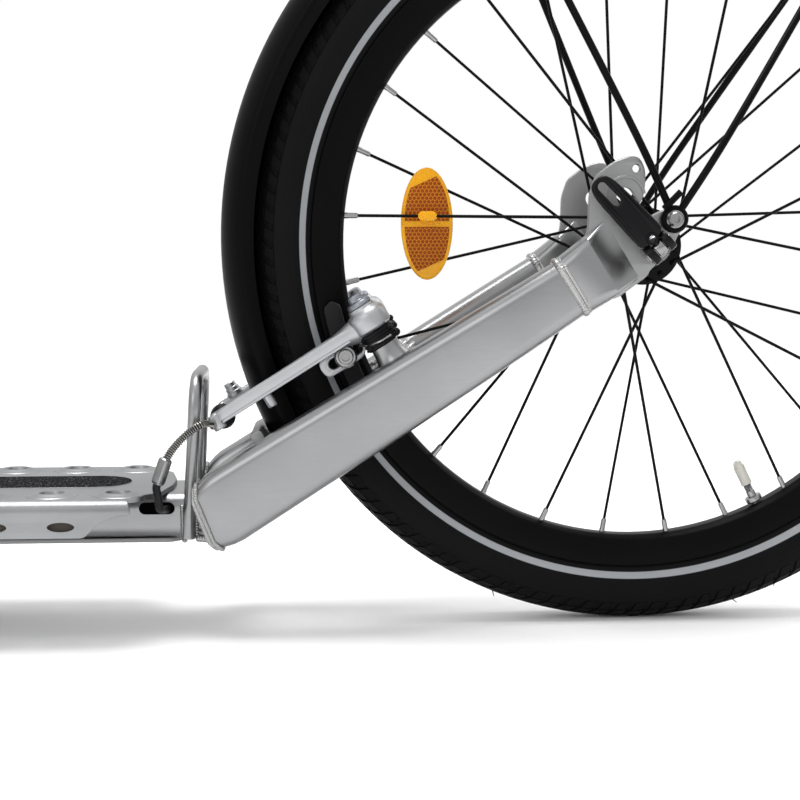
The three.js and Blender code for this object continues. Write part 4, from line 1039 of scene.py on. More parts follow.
    def piece(self, name: str, finish: Finish, body: "str | Bend", replaces: tuple = (),
              sharp: float = 32.0) -> bpy.types.Object:
        """Makes the finished object.

        Args:
            name: its name.
            finish: its surface.
            body: body that it rides on, or the bend between two.
            replaces: CAD nodes that it stands for.
            sharp: least angle of a hard edge, in degrees.

        Returns:
            The object.
        """
        mesh = self.mesh(name)
        mesh.transform(TO_METRES)
        mesh.shade_smooth()
        mesh.set_sharp_from_angle(angle=sharp * DEG)
        mesh.materials.clear()
        mesh.materials.append(finish.material())
        obj = bpy.data.objects.new(name, mesh)
        bpy.context.scene.collection.objects.link(obj)
        if isinstance(body, Bend):
            body.hold(obj)
        else:
            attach(obj, body)
        if replaces:
            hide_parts(*replaces)
        log.info("%s: %d faces on %s", name, len(mesh.polygons), body)
        return obj


class Grower(Graph):
    """Geometry node tree that repeats a shape by a rule."""

    def __init__(self, name: str, inputs: dict[str, str]) -> None:
        """Starts a tree.

        Args:
            name: its name.
            inputs: kind of socket for each named input.
        """
        super().__init__(bpy.data.node_groups.new(name, "GeometryNodeTree"))
        face = self.tree.interface
        kinds = {"Geometry": "NodeSocketGeometry", **inputs, "Shape": "NodeSocketObject",
                 "Material": "NodeSocketMaterial"}
        self.keys = {key: face.new_socket(key, in_out="INPUT", socket_type=kind).identifier
                     for key, kind in kinds.items()}
        face.new_socket("Geometry", in_out="OUTPUT", socket_type="NodeSocketGeometry")
        self.inlet = self.tree.nodes.new("NodeGroupInput")

    def given(self, key: str) -> Sock:
        """One of the inputs."""
        return Sock(self, self.inlet.outputs[key])

    def close(self, points: Sock, turn: Sock) -> "Grower":
        """Puts the shape on the points and ends the tree.

        Args:
            points: geometry with the places.
            turn: rotation of each copy.

        Returns:
            The tree.
        """
        shape = self.node("GeometryNodeObjectInfo", {}, self.given("Shape"), False, out="Geometry")
        copies = self.node("GeometryNodeInstanceOnPoints", {}, points, None, shape, None, None, turn)
        real = self.node("GeometryNodeRealizeInstances", {}, copies)
        dressed = self.node("GeometryNodeSetMaterial", {}, real, None, self.given("Material"))
        outlet = self.tree.nodes.new("NodeGroupOutput")
        self.tree.links.new(dressed.socket, outlet.inputs[0])
        return self

    def grow(self, shape: Shell, finish: Finish, base: bpy.types.ID | None = None, **values: object) -> Shell:
        """Runs the tree.

        Args:
            shape: the shape to repeat.
            finish: its surface.
            base: mesh or curve that the copies follow.
            values: the tree's inputs by name.

        Returns:
            All copies as one shell.
        """
        seed = bpy.data.objects.new("seed", shape.mesh("seed"))
        bpy.context.scene.collection.objects.link(seed)
        host = bpy.data.objects.new("host", base or bpy.data.meshes.new("host"))
        grown = host.modifiers.new("grow", "NODES")
        grown.node_group = self.tree
        for key, value in {**values, "Shape": seed, "Material": finish.material()}.items():
            grown[self.keys[key]] = value
        mesh = baked(host)
        bpy.data.objects.remove(seed)
        return Shell.read(mesh)


def ring_grower() -> Grower:
    """Tree that repeats a shape round the local Y axis, with a seeded random offset.

    Returns:
        The tree.
    """
    tree = Grower("round_the_axle", {
        "Count": "NodeSocketInt", "Start": "NodeSocketFloat", "Step": "NodeSocketFloat", "Jitter": "NodeSocketFloat",
        "Seed": "NodeSocketInt"})
    line = tree.node("GeometryNodeMeshLine", {}, tree.given("Count"), None, None, (0, 0, 0))
    index = tree.node("GeometryNodeInputIndex", {})
    shake = tree.node("FunctionNodeRandomValue", {"data_type": "FLOAT"}, out=1)
    node = shake.socket.node
    node.inputs[2].default_value = -1.0
    node.inputs[3].default_value = 1.0
    tree.tree.links.new(tree.given("Seed").socket, node.inputs["Seed"])
    angle = tree.given("Start") + index * tree.given("Step") + shake * tree.given("Jitter")
    turn = tree.node("ShaderNodeCombineXYZ", {}, 0.0, angle, 0.0)
    return tree.close(line, turn)


def row_grower() -> Grower:
    """Tree that repeats a shape along a straight line.

    Returns:
        The tree.
    """
    tree = Grower("along_a_row", {
        "Count": "NodeSocketInt", "Start": "NodeSocketVector", "Step": "NodeSocketVector"})
    line = tree.node("GeometryNodeMeshLine", {}, tree.given("Count"), None, tree.given("Start"), tree.given("Step"))
    turn = tree.node("ShaderNodeCombineXYZ", {}, 0.0, 0.0, 0.0)
    return tree.close(line, turn)


def path_grower() -> Grower:
    """Tree that strings a shape along a curve.

    Returns:
        The tree.
    """
    tree = Grower("along_a_path", {"Count": "NodeSocketInt"})
    curve = tree.given("Geometry")
    points = tree.node("GeometryNodeResampleCurve", {}, curve)
    node = points.socket.node
    tree.tree.links.new(tree.given("Count").socket, node.inputs["Count"])
    tangent = tree.node("GeometryNodeInputTangent", {})
    turn = tree.node("FunctionNodeAlignRotationToVector", {"axis": "Z"}, None, None, tangent)
    return tree.close(points, turn)


class Growers:
    """The three trees, made once."""

    _made: dict[str, Grower] = {}

    @classmethod
    def get(cls, kind: Callable[[], Grower]) -> Grower:
        """The tree of one kind.

        Args:
            kind: function that makes the tree.

        Returns:
            The tree.
        """
        if kind.__name__ not in cls._made:
            cls._made[kind.__name__] = kind()
        return cls._made[kind.__name__]


RIPPLE_PITCH = 1.5
RIPPLE_FLAT = 0.9  # thickness as a share of the radius


def bead(path: list, r: float, loop: bool = False) -> Shell:
    """Weld bead: overlapping ripples strung along a path.

    Args:
        path: the seam.
        r: radius of a ripple.
        loop: whether the seam closes on itself.

    Returns:
        The bead.
    """
    curve = bpy.data.curves.new("seam", "CURVE")
    curve.dimensions = "3D"
    spline = curve.splines.new("POLY")
    spline.points.add(len(path) - 1)
    spline.points.foreach_set("co", [v for p in path for v in (*p, 1.0)])
    spline.use_cyclic_u = loop
    profile = [(r * math.cos(t * DEG), RIPPLE_FLAT * r * math.sin(t * DEG)) for t in spread(7, -90, 90)]
    ripple = Shell.turned(profile, 12).moved(Matrix.Rotation(math.pi / 2, 4, "X"))
    count = max(3, int(length_of([Vector(p) for p in path]) / RIPPLE_PITCH))
    return Growers.get(path_grower).grow(ripple, WELD, curve, Count=count)


# ---- wheels


FIRST_HOLE = 161.4  # angle of rim hole 0, in degrees


@dataclass
class Wheel:
    """Wheel: tyre with tread, rim, hub, spokes and nipples, valve and reflector."""

    name: str
    body: str
    fixed: str
    x: float
    z: float
    rim_out: float
    rim_height: float
    rim_half: float
    section: float
    tyre_r: float
    hub_half: float
    flange_y: float
    flange_r: float
    shell_r: float
    axle_r: float
    plate: float
    pitches: int
    spokes: int = 28
    tread: float = 1.1

    def place(self) -> Matrix:
        """Frame at the wheel's middle."""
        return Matrix.Translation((self.x, 0, self.z))

    @property
    def rim_in(self) -> float:
        """Inner radius of the rim."""
        return self.rim_out - self.rim_height

    def angle(self, k: float) -> float:
        """Angle of a rim hole, in radians."""
        return (FIRST_HOLE + k * 360 / self.spokes) * DEG

    def build(self) -> None:
        """Makes all pieces."""
        self.make_tyre()
        self.make_rim()
        self.make_hub()
        self.make_valve()
        self.make_reflector()
        self.make_axle()

    def on_tyre(self, turn: float, across: float, r: float) -> tuple[float, float, float]:
        """Point of the tyre's section, angles in degrees round the wheel and across the tread."""
        out = self.tyre_r - self.section + r * math.cos(across * DEG)
        return (out * math.cos(turn * DEG), r * math.sin(across * DEG), out * math.sin(turn * DEG))

    def lug(self, turn: float, low: float, high: float, slant: float, share: float) -> Shell:
        """One tread block.

        Args:
            turn: where it starts round the wheel, in degrees.
            low: edge nearer the crown, in degrees across.
            high: outer edge.
            slant: how far the outer edge is ahead, in pitches.
            share: its length as a share of the pitch.

        Returns:
            The block.
        """
        pitch = 360 / self.pitches
        rows = []
        for r, grow in ((self.section - self.tread - 0.4, 0.03), (self.section, 0.0)):
            ends = ((low, 0.0), (high, slant))
            pts = [self.on_tyre((turn + (lean - grow)) * pitch, across, r) for across, lean in ends]
            pts += [self.on_tyre((turn + lean + share + grow) * pitch, across, r) for across, lean in reversed(ends)]
            rows.append(pts)
        return Shell.loft(rows)

    def make_tyre(self) -> None:
        """Casing, tread and rubber hairs."""
        sink, lip = self.rim_out - 4, self.rim_out + 0.3
        low = self.rim_in + 0.45 * self.rim_height
        room = lambda r: mix(0.6 * self.rim_half, self.rim_half - 1.6, (r - low) / (self.rim_out - low)) - 0.3
        neck, foot = room(self.rim_out), room(sink)
        centre = self.tyre_r - self.section
        outer = []
        for t in spread(71, -112, 112):  # degrees across the tread
            shoulder = ease(min(1.0, max(0.0, (abs(t) - 62) / 5)))
            ridge = 0.35 * max(0.0, 1 - abs(abs(t) - 103) / 2.5) - 0.25 * max(0.0, 1 - abs(abs(t) - 78) / 2.0)
            r = self.section - self.tread * (1 - shoulder) + ridge
            outer.append((centre + r * math.cos(t * DEG), r * math.sin(t * DEG)))
        wall = 2.6
        inner_r = self.section - wall
        open_at = 180 - math.asin((foot - wall) / inner_r) / DEG
        inner = arc(centre, 0, inner_r, open_at, -open_at, 24)
        line = [(sink, -foot), (lip, -neck), *outer, (lip, neck), (sink, foot),
                (sink, foot - wall), *inner, (sink, wall - foot)]
        casing = Shell.turned(line, 160, ring=True)
        rows = ((0.0, 1.5, 12, 0.35, 0.62), (0.5, 14, 27, 0.45, 0.7), (0.1, 29, 44, 0.35, 0.74),
                (0.45, 46, 66, 0.3, 0.6))
        unit = Shell().join(*(
            self.lug(turn + (0.5 if hand < 0 else 0), hand * a, hand * b, slant, share)
            for turn, a, b, slant, share in rows for hand in (-1, 1)))
        ring = Growers.get(ring_grower)
        tread = ring.grow(unit, TYRES[self.name], Count=self.pitches, Start=0.0, Step=2 * math.pi / self.pitches)
        hairs = []
        spots = ((-62, 2.6, 1), (-33, 2.0, -2), (-8, 3.2, 2), (20, 2.2, 1), (47, 3.0, -1), (66, 2.4, 2), (-50, 3.4, 0))
        for seed, (across, reach, lean) in enumerate(spots):
            foot, tip = (self.on_tyre(0, across, self.section - 0.6),
                         self.on_tyre(lean * 0.3, across + 2, self.section + reach * 0.9))
            hairs.append(ring.grow(Shell.tube([foot, tip], [0.42, 0.22], 4), TYRES[self.name], Count=11,
                                   Start=seed * 0.7, Step=2 * math.pi / 11, Jitter=0.22, Seed=seed))
        mid, r = self.place().translation, self.tyre_r - 0.05
        shell = casing.join(tread, *hairs).moved(self.place()).warped(
            lambda v: Vector((min(max(v.x, mid.x - r), mid.x + r), v.y, max(v.z, mid.z - r))))
        shell.piece(f"{self.name}_tyre_tread", TYRES[self.name], self.body, (f"{self.name}_tyre",))

    def make_rim(self) -> None:
        """Rim with eased edges."""
        low, h, half = self.rim_in, self.rim_height, self.rim_half
        side = [(low, 0.45 * half), (low + 0.15 * h, 0.85 * half), (low + 0.62 * h, 0.935 * half + 0.1),
                (self.rim_out, half), (self.rim_out, half - 1.6), (low + 0.45 * h, 0.6 * half)]
        line = [(r, -y) for r, y in side] + side[::-1]
        shell = Shell.turned(soften(line, 1.1, 3), 160, ring=True).moved(self.place())
        shell.piece(f"{self.name}_rim_profile", RIM, self.body, (f"{self.name}_rim",))

    def spoke(self, k: int) -> tuple[Vector, Vector, Vector]:
        """Hole, elbow and rim end of one spoke, about the axle.

        Args:
            k: number of its hole.

        Returns:
            The three places.
        """
        side = -1 if k % 2 else 1
        leads = ((k + 1) // 2) % 2 == 1
        rim_angle = self.angle(k)
        hub_angle = rim_angle + (-1 if leads else 1) * 4 * 2 * math.pi / self.spokes
        hole_r = self.flange_r - 3.2
        beside = (1 if leads else -1) * (1.6 + 1.05 + 0.3)
        at = lambda r, a, y: Vector((r * math.cos(a), y, r * math.sin(a)))
        return (at(hole_r, hub_angle, side * (self.flange_y - beside * 0.6)),
                at(hole_r, hub_angle, side * (self.flange_y + beside)), at(self.rim_in, rim_angle, side * 2.5))

    def make_hub(self) -> None:
        """Hub shell, spokes and nipples."""
        end = self.hub_half - 20
        f, r = self.flange_y, self.shell_r
        half = [(self.axle_r + 0.3, end), (r - 1, end), (r + 0.2, end - 1.2), (r + 1.2, end - 6), (r + 2, f + 3.4),
                (r + 4, f + 1.8), (self.flange_r - 1, f + 1.7), (self.flange_r, f + 0.9), (self.flange_r, f - 0.9),
                (self.flange_r - 1, f - 1.7), (r + 3, f - 2), (r + 1, f - 5), (r, f - 12)]
        shell = Shell.turned(mirrored(half), 64, ring=True)
        wires, heads = Shell(), Shell()
        cap = [(0, 0), (1.7, 0.1), (1.9, 0.6), (1.5, 1.1), (0, 1.2)]
        nipple = [(0, -1.5), (1.95, -1.5), (1.95, 1.8), (1.75, 2.3), (1.75, 7.6), (1.3, 8.6), (0, 8.6)]
        for k in range(4):
            hole, elbow, rim = self.spoke(k)
            wire = Shell.tube(bent([hole, elbow, rim], 2.4, 5), 1.0, 8)
            wires = wires.join(wire, Shell.knob(cap, 10, hole, hole - elbow))
            heads = heads.join(Shell.knob(nipple, 12, rim, elbow - rim))
        ring = Growers.get(ring_grower)
        step = -8 * math.pi / self.spokes
        shell = shell.join(ring.grow(wires, ANODISED, Count=7, Step=step))
        shell = shell.moved(self.place())
        shell.piece(f"{self.name}_hub_and_spokes", WIRE, self.body, (f"{self.name}_hub_spokes",), sharp=50)
        heads = ring.grow(heads, STEEL, Count=7, Step=step).moved(self.place())
        heads.piece(f"{self.name}_nipples", STEEL, self.body)

    def make_valve(self) -> None:
        """Stem with its thread and nut, and the clear cap."""
        a = self.angle(10.5)
        way = Vector((math.cos(a), 0, math.sin(a)))
        stand = self.place() @ axis_frame(way * (self.rim_in - 31), way)
        thread = [(0, 9)] + [(2.9 if i % 2 else 2.45, 10 + i * 0.45) for i in range(28)]
        thread += [(3, 22.8), (3, 26), (5.4, 26.2), (5.6, 27), (5.6, 29), (4.6, 29.8), (3, 30.4), (3, 31.5), (0, 31.5)]
        stem = Shell.turned(thread, 24).moved(stand)
        stem.piece(f"{self.name}_valve_stem", STEEL, self.body, (f"{self.name}_valve",))
        cap = [(0, 0), (1.6, 0.2), (2.7, 1.2), (3.1, 3), (3.8, 4), (3.8, 8)]
        cap += [(3.8 - 0.18 * (i % 2), 8 + i * 0.8) for i in range(11)] + [(3.8, 17), (0, 17)]
        Shell.turned(cap, 24).moved(stand).piece(f"{self.name}_valve_cap", CLEAR_CAP, self.body)

    def make_reflector(self) -> None:
        """Amber lens with two honeycomb panels on each side, and its clips."""
        a = self.angle(1)
        r = self.rim_in * 0.72
        cx, cz = r * math.cos(a), r * math.sin(a)
        oval = [(16.5 * math.cos(t), 35 * math.sin(t)) for t in (2 * math.pi * i / 64 for i in range(64))]
        body = Shell.side_plate(oval, Side.RIGHT, -3.4, 3.4, edge=1.5)
        at = self.place() @ Matrix.Translation((cx, 0, cz))
        panels = Shell()
        inner = [(x * 0.86, z * 0.93) for x, z in oval]
        c, s = math.cos(24 * DEG), math.sin(24 * DEG)
        for hand in (1, -1):
            line = clip(clip(inner, 0, -hand, -1.9), -s * hand, c * hand, 24.5)
            for side in Side:
                panels = panels.join(Shell.side_plate(line, side, 3.1, 4.0, edge=0.3))
        clips = Shell()
        for k in range(3):
            _, elbow, rim = self.spoke(k)
            share = (cx - rim.x) / (elbow.x - rim.x)
            meet = rim.lerp(elbow, share)
            if abs(meet.z - cz) > 29:
                continue
            way = (elbow - rim).normalized()
            block = slot_line(meet.x - cx, meet.z - cz, 12, 6, math.atan2(way.z, way.x) / DEG)
            clips = clips.join(Shell.side_plate(block, Side.of(meet.y), 2.5, abs(meet.y) + 1.9, edge=0.6))
        body.join(clips).moved(at).piece(f"{self.name}_reflector_lens", AMBER, self.body, (f"{self.name}_reflector",))
        panels.moved(at).piece(f"{self.name}_reflector_prisms", AMBER_CELLS, self.body)

    def make_axle(self) -> None:
        """Axle with its lock nuts."""
        nut, out = self.hub_half - 19.7, self.hub_half + self.plate - 0.3
        r = self.axle_r
        half = [(0, out), (r - 0.6, out), (r, out - 0.6), (r, self.hub_half), (r + 3.6, self.hub_half),
                (r + 4, self.hub_half - 0.6), (r + 4, self.hub_half - 6), (r + 3.4, self.hub_half - 7),
                (r + 2, nut), (r, nut)]
        shell = Shell.turned(mirrored(half), 40).moved(self.place())
        shell.piece(f"{self.name}_axle_and_nuts", STEEL, self.fixed, (f"{self.name}_axle",))


def tyre_rubber(name: str, **ring: object) -> TyreFinish:
    """Rubber of one tyre, with the place of its reflective ring."""
    return TyreFinish(f"{name}_tyre_rubber", (0.0045, 0.0045, 0.005), "tyre", 0.0, 0.5, grain=0.25, grain_scale=500,
                      specular=0.12, **ring)


TYRES = {
    "rear": tyre_rubber("rear"),
    "front": tyre_rubber("front", centre=((SHIFT + FRONT[0]) / 1000, FRONT[1] / 1000), stripe=0.3205),
}
REAR_WHEEL = Wheel(
    "rear", "rear_wheel", "frame", 0, HUB_Z, rim_out=207.5, rim_height=20.2, rim_half=12.2, section=20, tyre_r=243,
    hub_half=67, flange_y=30, flange_r=24, shell_r=13, axle_r=5, plate=7.5, pitches=132)
FRONT_WHEEL = Wheel(
    "front", "front_wheel", "steering", *FRONT, rim_out=315, rim_height=18, rim_half=11.5, section=18, tyre_r=348,
    hub_half=50, flange_y=33, flange_r=19, shell_r=11, axle_r=4.5, plate=6, pitches=190)


@dataclass
class QuickRelease:
    """Quick release: cup and nut against the dropouts, and the black lever with its window."""

    wheel: Wheel
    turn: float
    body: str
    cup: float = 9.5
    reach: float = 55.0
    width: float = 17.0

    def build(self) -> None:
        """Makes all pieces."""
        w, r = self.wheel, self.cup
        base = w.hub_half + w.plate
        top = base + 8.5
        pin = top + 0.3 + 7
        at = w.place() @ Matrix.Rotation(self.turn * DEG, 4, "Y")
        for side, node in ((-1, "cam"), (1, "nut")):
            line = [(0, base), (r - 0.5, base), (r, base + 0.5), (r, base + 2), (r - 0.4, base + 2.5),
                    (r - 2, base + 4.2), (r - 2.6, base + 5), (r - 2.6, base + 8), (r - 3.1, top), (0, top)]
            shell = Shell.turned([(a, side * b) for a, b in line], 48)
            if side < 0:
                neck = Shell.side_plate(soften([(-4.5, -3.1), (4.5, -3.1), (4.5, 3.1), (-4.5, 3.1)], 1),
                                        Side.LEFT, base + 2, pin)
                eye = Shell.bolt((0, -pin, -3.1), (0, -pin, 3.1), 4.8, 0.6)
                shell = shell.join(neck, eye)
            name = f"{w.name}_release_{node}"
            shell.moved(at).piece(f"{name}_turned", STEEL, w.fixed, (name,))
        self.make_lever(at @ Matrix.Translation((0, -pin, 0)))

    def make_lever(self, at: Matrix) -> None:
        """Black blade and its silver pin.

        Args:
            at: frame of the lever's pin.
        """
        half, at = self.width / 2, at @ Matrix.Rotation(3 * DEG, 4, "Y")
        shares = ((0.1, 1), (0.24, 1.06), (0.5, 1.02), (0.75, 0.97), (0.93, 0.86), (1.01, 0.45), (1.01, -0.45),
                  (0.93, -0.86), (0.75, -0.97), (0.5, -1.02), (0.24, -1.06), (0.1, -1))
        blade = soften([(-a * self.reach, b * half) for a, b in shares], 9, 5)
        window = slot_line(-0.80 * self.reach, 0, 17, 5.4)
        notch = slot_line(0.02 * self.reach, 0, 22, 7)
        plate = Shell.side_plate(blade, Side.LEFT, 0.2, 5.2, [window], edge=1.5)
        bow = lambda v: Vector((v.x, v.y - 2.2 * math.sin(math.pi * min(1, max(0, -v.x / self.reach))), v.z))
        gap = Shell.side_plate(notch, Side.LEFT, -12, 12, edge=0.01)
        cheeks = [Shell.bolt((0, 0, s * 3.7), (0, 0, s * half), 6.8, 1.0, 40) for s in (-1, 1)]
        eye = Shell.turned([(1.9, 5.2), (3.4, 5.2), (3.7, 5.9), (3.2, 6.6), (1.9, 6.6)], 32, ring=True)
        blade_shell = plate.warped(bow).minus(gap).join(*cheeks, eye.moved(Matrix.Translation((-7.5, -12.2, 0))))
        name = self.wheel.name
        blade_shell.moved(at).piece(f"{name}_release_blade", ANODISED, self.body, (f"{name}_release_lever",))
        pin = Shell.bolt((0, 0, -half - 0.8), (0, 0, half + 0.8), 2.6, 0.5, 24)
        pin.moved(at).piece(f"{name}_release_pin", STEEL, self.body)


@dataclass
class Mudguard:
    """Mudguard with its wires and their bolts at the dropouts."""

    wheel: Wheel
    span: tuple[float, float]
    seat: tuple[float, float]
    angles: tuple[float, float]
    half: float = 22.5
    clear: float = 20.0
    depth: float = 12.0
    sheet: float = 1.6
    wire_r: float = 2.3

    def build(self) -> None:
        """Makes all pieces."""
        w = self.wheel
        outer = w.tyre_r + self.clear + self.sheet
        edge = lambda r, half, s: (r - self.depth * s * s - 1.2 * abs(s) ** 6, s * half)
        low = outer - self.depth
        lips = [(low - 9.2, self.half - 4.4), (low - 9.4, self.half - 3.8), (low - 4.5, self.half - 0.5)]
        line = [(a, -b) for a, b in lips] + [edge(outer, self.half, s) for s in spread(21, -1, 1)] + lips[::-1]
        line += [(low - 4.5, self.half - 2.2)]
        line += [edge(outer - self.sheet, self.half - 1.7, -s) for s in spread(21, -1, 1)]
        line += [(low - 4.5, 2.2 - self.half)]
        rings = []
        for t in spread(97, *self.span):
            c, s = math.cos(t * DEG), math.sin(t * DEG)
            rings.append([(r * c, y, r * s) for r, y in line])
        guard = Shell.loft(rings).moved(w.place())
        guard.piece(f"{w.name}_mudguard_shell", GUARD, w.fixed, (f"{w.name}_mudguard",), sharp=50)
        for side in Side:
            self.make_wires(side)

    def make_wires(self, side: Side) -> None:
        """Both wires of one side with their eye and bolt.

        Args:
            side: side of the bike.
        """
        w, (sx, sz) = self.wheel, self.seat
        y = w.hub_half + w.plate + 2.1
        r = w.tyre_r + self.clear - self.depth + 2
        edge = self.half + self.wire_r + 0.3
        at = lambda x, across, z: Vector((x, side.value * across, z))
        seat = Matrix.Translation((sx, 0, sz))
        eye = [(2.6, y - 1.9), (7.4, y - 1.9), (8.3, y - 0.9), (8.3, y + 1.6), (7.5, y + 2.8), (5.4, y + 3.0),
               (2.6, y + 3.0)]
        black = Shell.turned(eye, 48, ring=True).moved(seat).on(side)
        stub = Shell.tube([at(sx - 7, y + 3.4, sz + 6), at(sx + 3, y + 3.2, sz + 16)], self.wire_r * 0.9, 16)
        black = black.join(stub)
        for degrees in self.angles:
            x, z = r * math.cos(degrees * DEG), r * math.sin(degrees * DEG)
            way = Vector((x - sx, 0, z - sz)).normalized()
            near = (sx + way.x * 46, sz + way.z * 46)
            far = (x - way.x * 23, z - way.z * 23)
            lift = y + 0.65
            path = flowing([at(sx + way.x * 4, lift, sz + way.z * 4), at(near[0], lift, near[1]),
                            at(far[0], edge + 2, far[1]), at(x, edge, z)], 40)
            black = black.join(Shell.tube(path, self.wire_r, 14))
        place = w.place()
        name = f"{w.name}_guard_wires_{side.hand}"
        black.moved(place).piece(f"{name}_rods", WIRE, w.fixed, (name,))
        head = [(0, y + 3), (5.2, y + 3), (5.3, y + 3.5), (4.4, y + 4.2), (4.3, y + 7.6), (3.7, y + 8.3),
                (2.2, y + 8.3), (2.0, y + 5.6), (0, y + 5.6)]
        Shell.turned(head, 40).moved(seat).on(side).moved(place).piece(f"{name}_bolt", STEEL, w.fixed)


# ---- frame


STAY_A = Vector((-268.4, 0, 82.9))  # front end of the stays' middle line
STAY_B = Vector((-39.7, 0, 226.3))  # rear end
STAY_WAY = (STAY_B - STAY_A).normalized()
STAY_UP = Vector((-STAY_WAY.z, 0, STAY_WAY.x))
BRAKE_FRAME = Matrix.Translation((-159.4006, 0, 177.6842)) @ Matrix.Rotation(-32.0886 * DEG, 4, "Y")
STEER = Matrix.Translation((-1257.4517, 0, 333.3494)) @ Matrix.Rotation(HEAD_ANGLE, 4, "Y")
FRONT_FRAME = (STEER @ Matrix.Translation((-17, 0, 282.4134)) @ Matrix.Rotation(-math.pi / 2, 4, "Y")
               @ Matrix.Rotation(math.pi, 4, "Z"))
PIVOT_Y = 42  # brake pivots from the middle
POST_TOP = 34.4  # along the pivots
SEAT = (-18.5, 30)  # upper axle seat from the lower one


def pivot_frame(side: int) -> Matrix:
    """Frame on one brake pivot, with its Y along the post."""
    return axis_frame(Vector((0, side * PIVOT_Y, 0)), Vector((0, 0, 1)))


@dataclass
class RearStay:
    """One rear stay: tapered tube, collar, dropout with two axle seats, and the brake post."""

    side: Side
    width: float = 25.0
    front_height: float = 43.0
    rear_height: float = 35.0
    corner: float = 8.0
    span: float = 54.0
    near: float = 67.0
    far: float = 74.5
    front_y: float = 48.2
    seat_y: float = 73.0
    cut_back: float = 17.2
    cut_slopes: tuple[float, float] = (0.627, -0.225)

    def middle(self, share: float) -> Vector:
        """Middle of the tube at a share of its length, on the positive side."""
        p = STAY_A.lerp(STAY_B, share)
        return Vector((p.x, mix(self.front_y, self.seat_y, ease(min(1.0, max(0.0, share)))), p.z))

    def ring(self, middle: Vector, width: float, height: float, corner: float) -> list[Vector]:
        """Section of the tube."""
        return [Vector((middle.x, middle.y + y, middle.z)) + STAY_UP * z for y, z in box_line(width, height, corner)]

    def section(self, share: float, taper: float = 1.0) -> list[Vector]:
        """Section of the tube at a share of its length, its front end cut upright.

        Args:
            share: share of the tube's length.
            taper: factor on its size.

        Returns:
            The ring.
        """
        drop = 4.2 * (1 - share * share)
        middle = self.middle(share) - STAY_UP * (drop / 2)
        height = mix(self.front_height, self.rear_height, share) + drop
        fade = max(0.0, 1 - share / 0.1)
        ring = self.ring(middle, self.width * taper, height * taper, self.corner * taper)
        rise = [(v - middle).dot(STAY_UP) for v in ring]
        above, below = self.cut_slopes
        return [v + STAY_WAY * (fade * (-self.cut_back + (above if h > 0 else below) * h)) for v, h in zip(ring, rise)]

    def build(self) -> None:
        """Makes the stay with its welds."""
        rounded = 0.04
        rings = [self.section(s, mix(0.84, 1.0, ease((s / rounded) ** 0.7)))
                 for s in (0.0, 0.004, 0.012, 0.024, rounded)]
        rings += [self.section(s) for s in spread(40, 0.06, 0.955)]
        stay = f"{self.side.hand}_stay"
        metal = Shell.loft(rings).join(self.collar(), self.post())
        for shell, part, finish, nodes in ((metal, "tube", ALU, (stay,)), (self.plate(), "dropout", ALU_DROP, ()),
                                           (self.welds(), "welds", WELD, ())):
            shell.on(self.side).piece(f"{stay}_{part}", finish, "frame", nodes, sharp=24)

    def collar(self) -> Shell:
        """Forged socket between tube and dropout, with its fold lines.

        Returns:
            The collar, on the right.
        """
        end, y = self.middle(1.0), self.seat_y
        rows = ((-12.5, 25.4, 36.2, 8, y, 0.0), (-11.5, 26.2, 37.6, 8, y, 0.0), (-3, 26.2, 38.4, 7, y, 0.3),
                (8.5, 26.0, 39.6, 5.5, y, 0.8), (9.2, 25.4, 39.4, 4.5, 72.9, 0.9), (24, 8.6, 41.0, 2.2, 70.8, 2.6),
                (25, 7.6, 40.0, 2, 70.75, 2.6))
        rings = []
        for run, width, height, corner, across, lift in rows:
            p = end + STAY_WAY * run + STAY_UP * lift
            rings.append(self.ring(Vector((p.x, across, p.z)), width, height, corner))
        return Shell.loft(rings)

    def plate(self) -> Shell:
        """Dropout plate with eyelet, lug and axle seats.

        Returns:
            The plate, on the right.
        """
        shares = ((-0.87, -0.2), (-0.75, 0.2), (-0.74, 0.574), (-0.667, 0.787), (-0.472, 0.935), (-0.287, 0.996),
                  (-0.185, 0.978), (-0.122, 0.852), (-0.117, 0.704), (-0.139, 0.537), (-0.194, 0.459), (-0.167, 0.278),
                  (0.056, 0.398), (0.185, 0.43), (0.306, 0.37), (0.324, 0.222), (0.237, 0.093), (0.219, -0.009),
                  (0.074, -0.148), (-0.052, -0.254), (-0.067, -0.311), (-0.228, -0.43), (-0.389, -0.548), (-0.55, -0.6))
        line = soften([(a * self.span, b * self.span + HUB_Z) for a, b in shares], 3.2, 4)
        holes = [circle(x, z + HUB_Z, 2.4) for x, z in ((-12.0, 46.3), (11.2, 16.6))]
        flat = Shell.side_plate(line, Side.RIGHT, self.near, self.far, holes, edge=0.9)
        seats, slope, wide = [], -58, 10.6
        for (x, z), depth in (((0, 0), 16), (SEAT, 14)):
            way = slope * DEG
            mid = (x + math.cos(way) * depth / 2, z + HUB_Z + math.sin(way) * depth / 2)
            cut = slot_line(*mid, depth + wide, wide, slope, 12)
            seats.append(Shell.side_plate(cut, Side.RIGHT, 60, 80, edge=0.01))
        x, z = SEAT
        arch = arc(x, z + HUB_Z, 12.4, 236, 8, 28) + arc(x, z + HUB_Z, 10.6, 8, 236, 28)
        rim = Shell.side_plate(arch, Side.RIGHT, self.far - 0.3, self.far + 0.9, edge=0.4)
        return flat.minus(*seats).join(rim)

    def post(self) -> Shell:
        """Brake post rising from the stay.

        Returns:
            The post, on the right.
        """
        line = [(0, -18), (19, -18), (17.5, -13), (14.5, -8.5), (11.6, -5), (10.0, -1.5), (9.2, 3), (9.0, 6.6),
                (8.6, 7), (4.2, 7.2), (4, 8), (4, POST_TOP), (0, POST_TOP)]
        return Shell.turned(line, 48).moved(pivot_frame(1)).moved(BRAKE_FRAME)

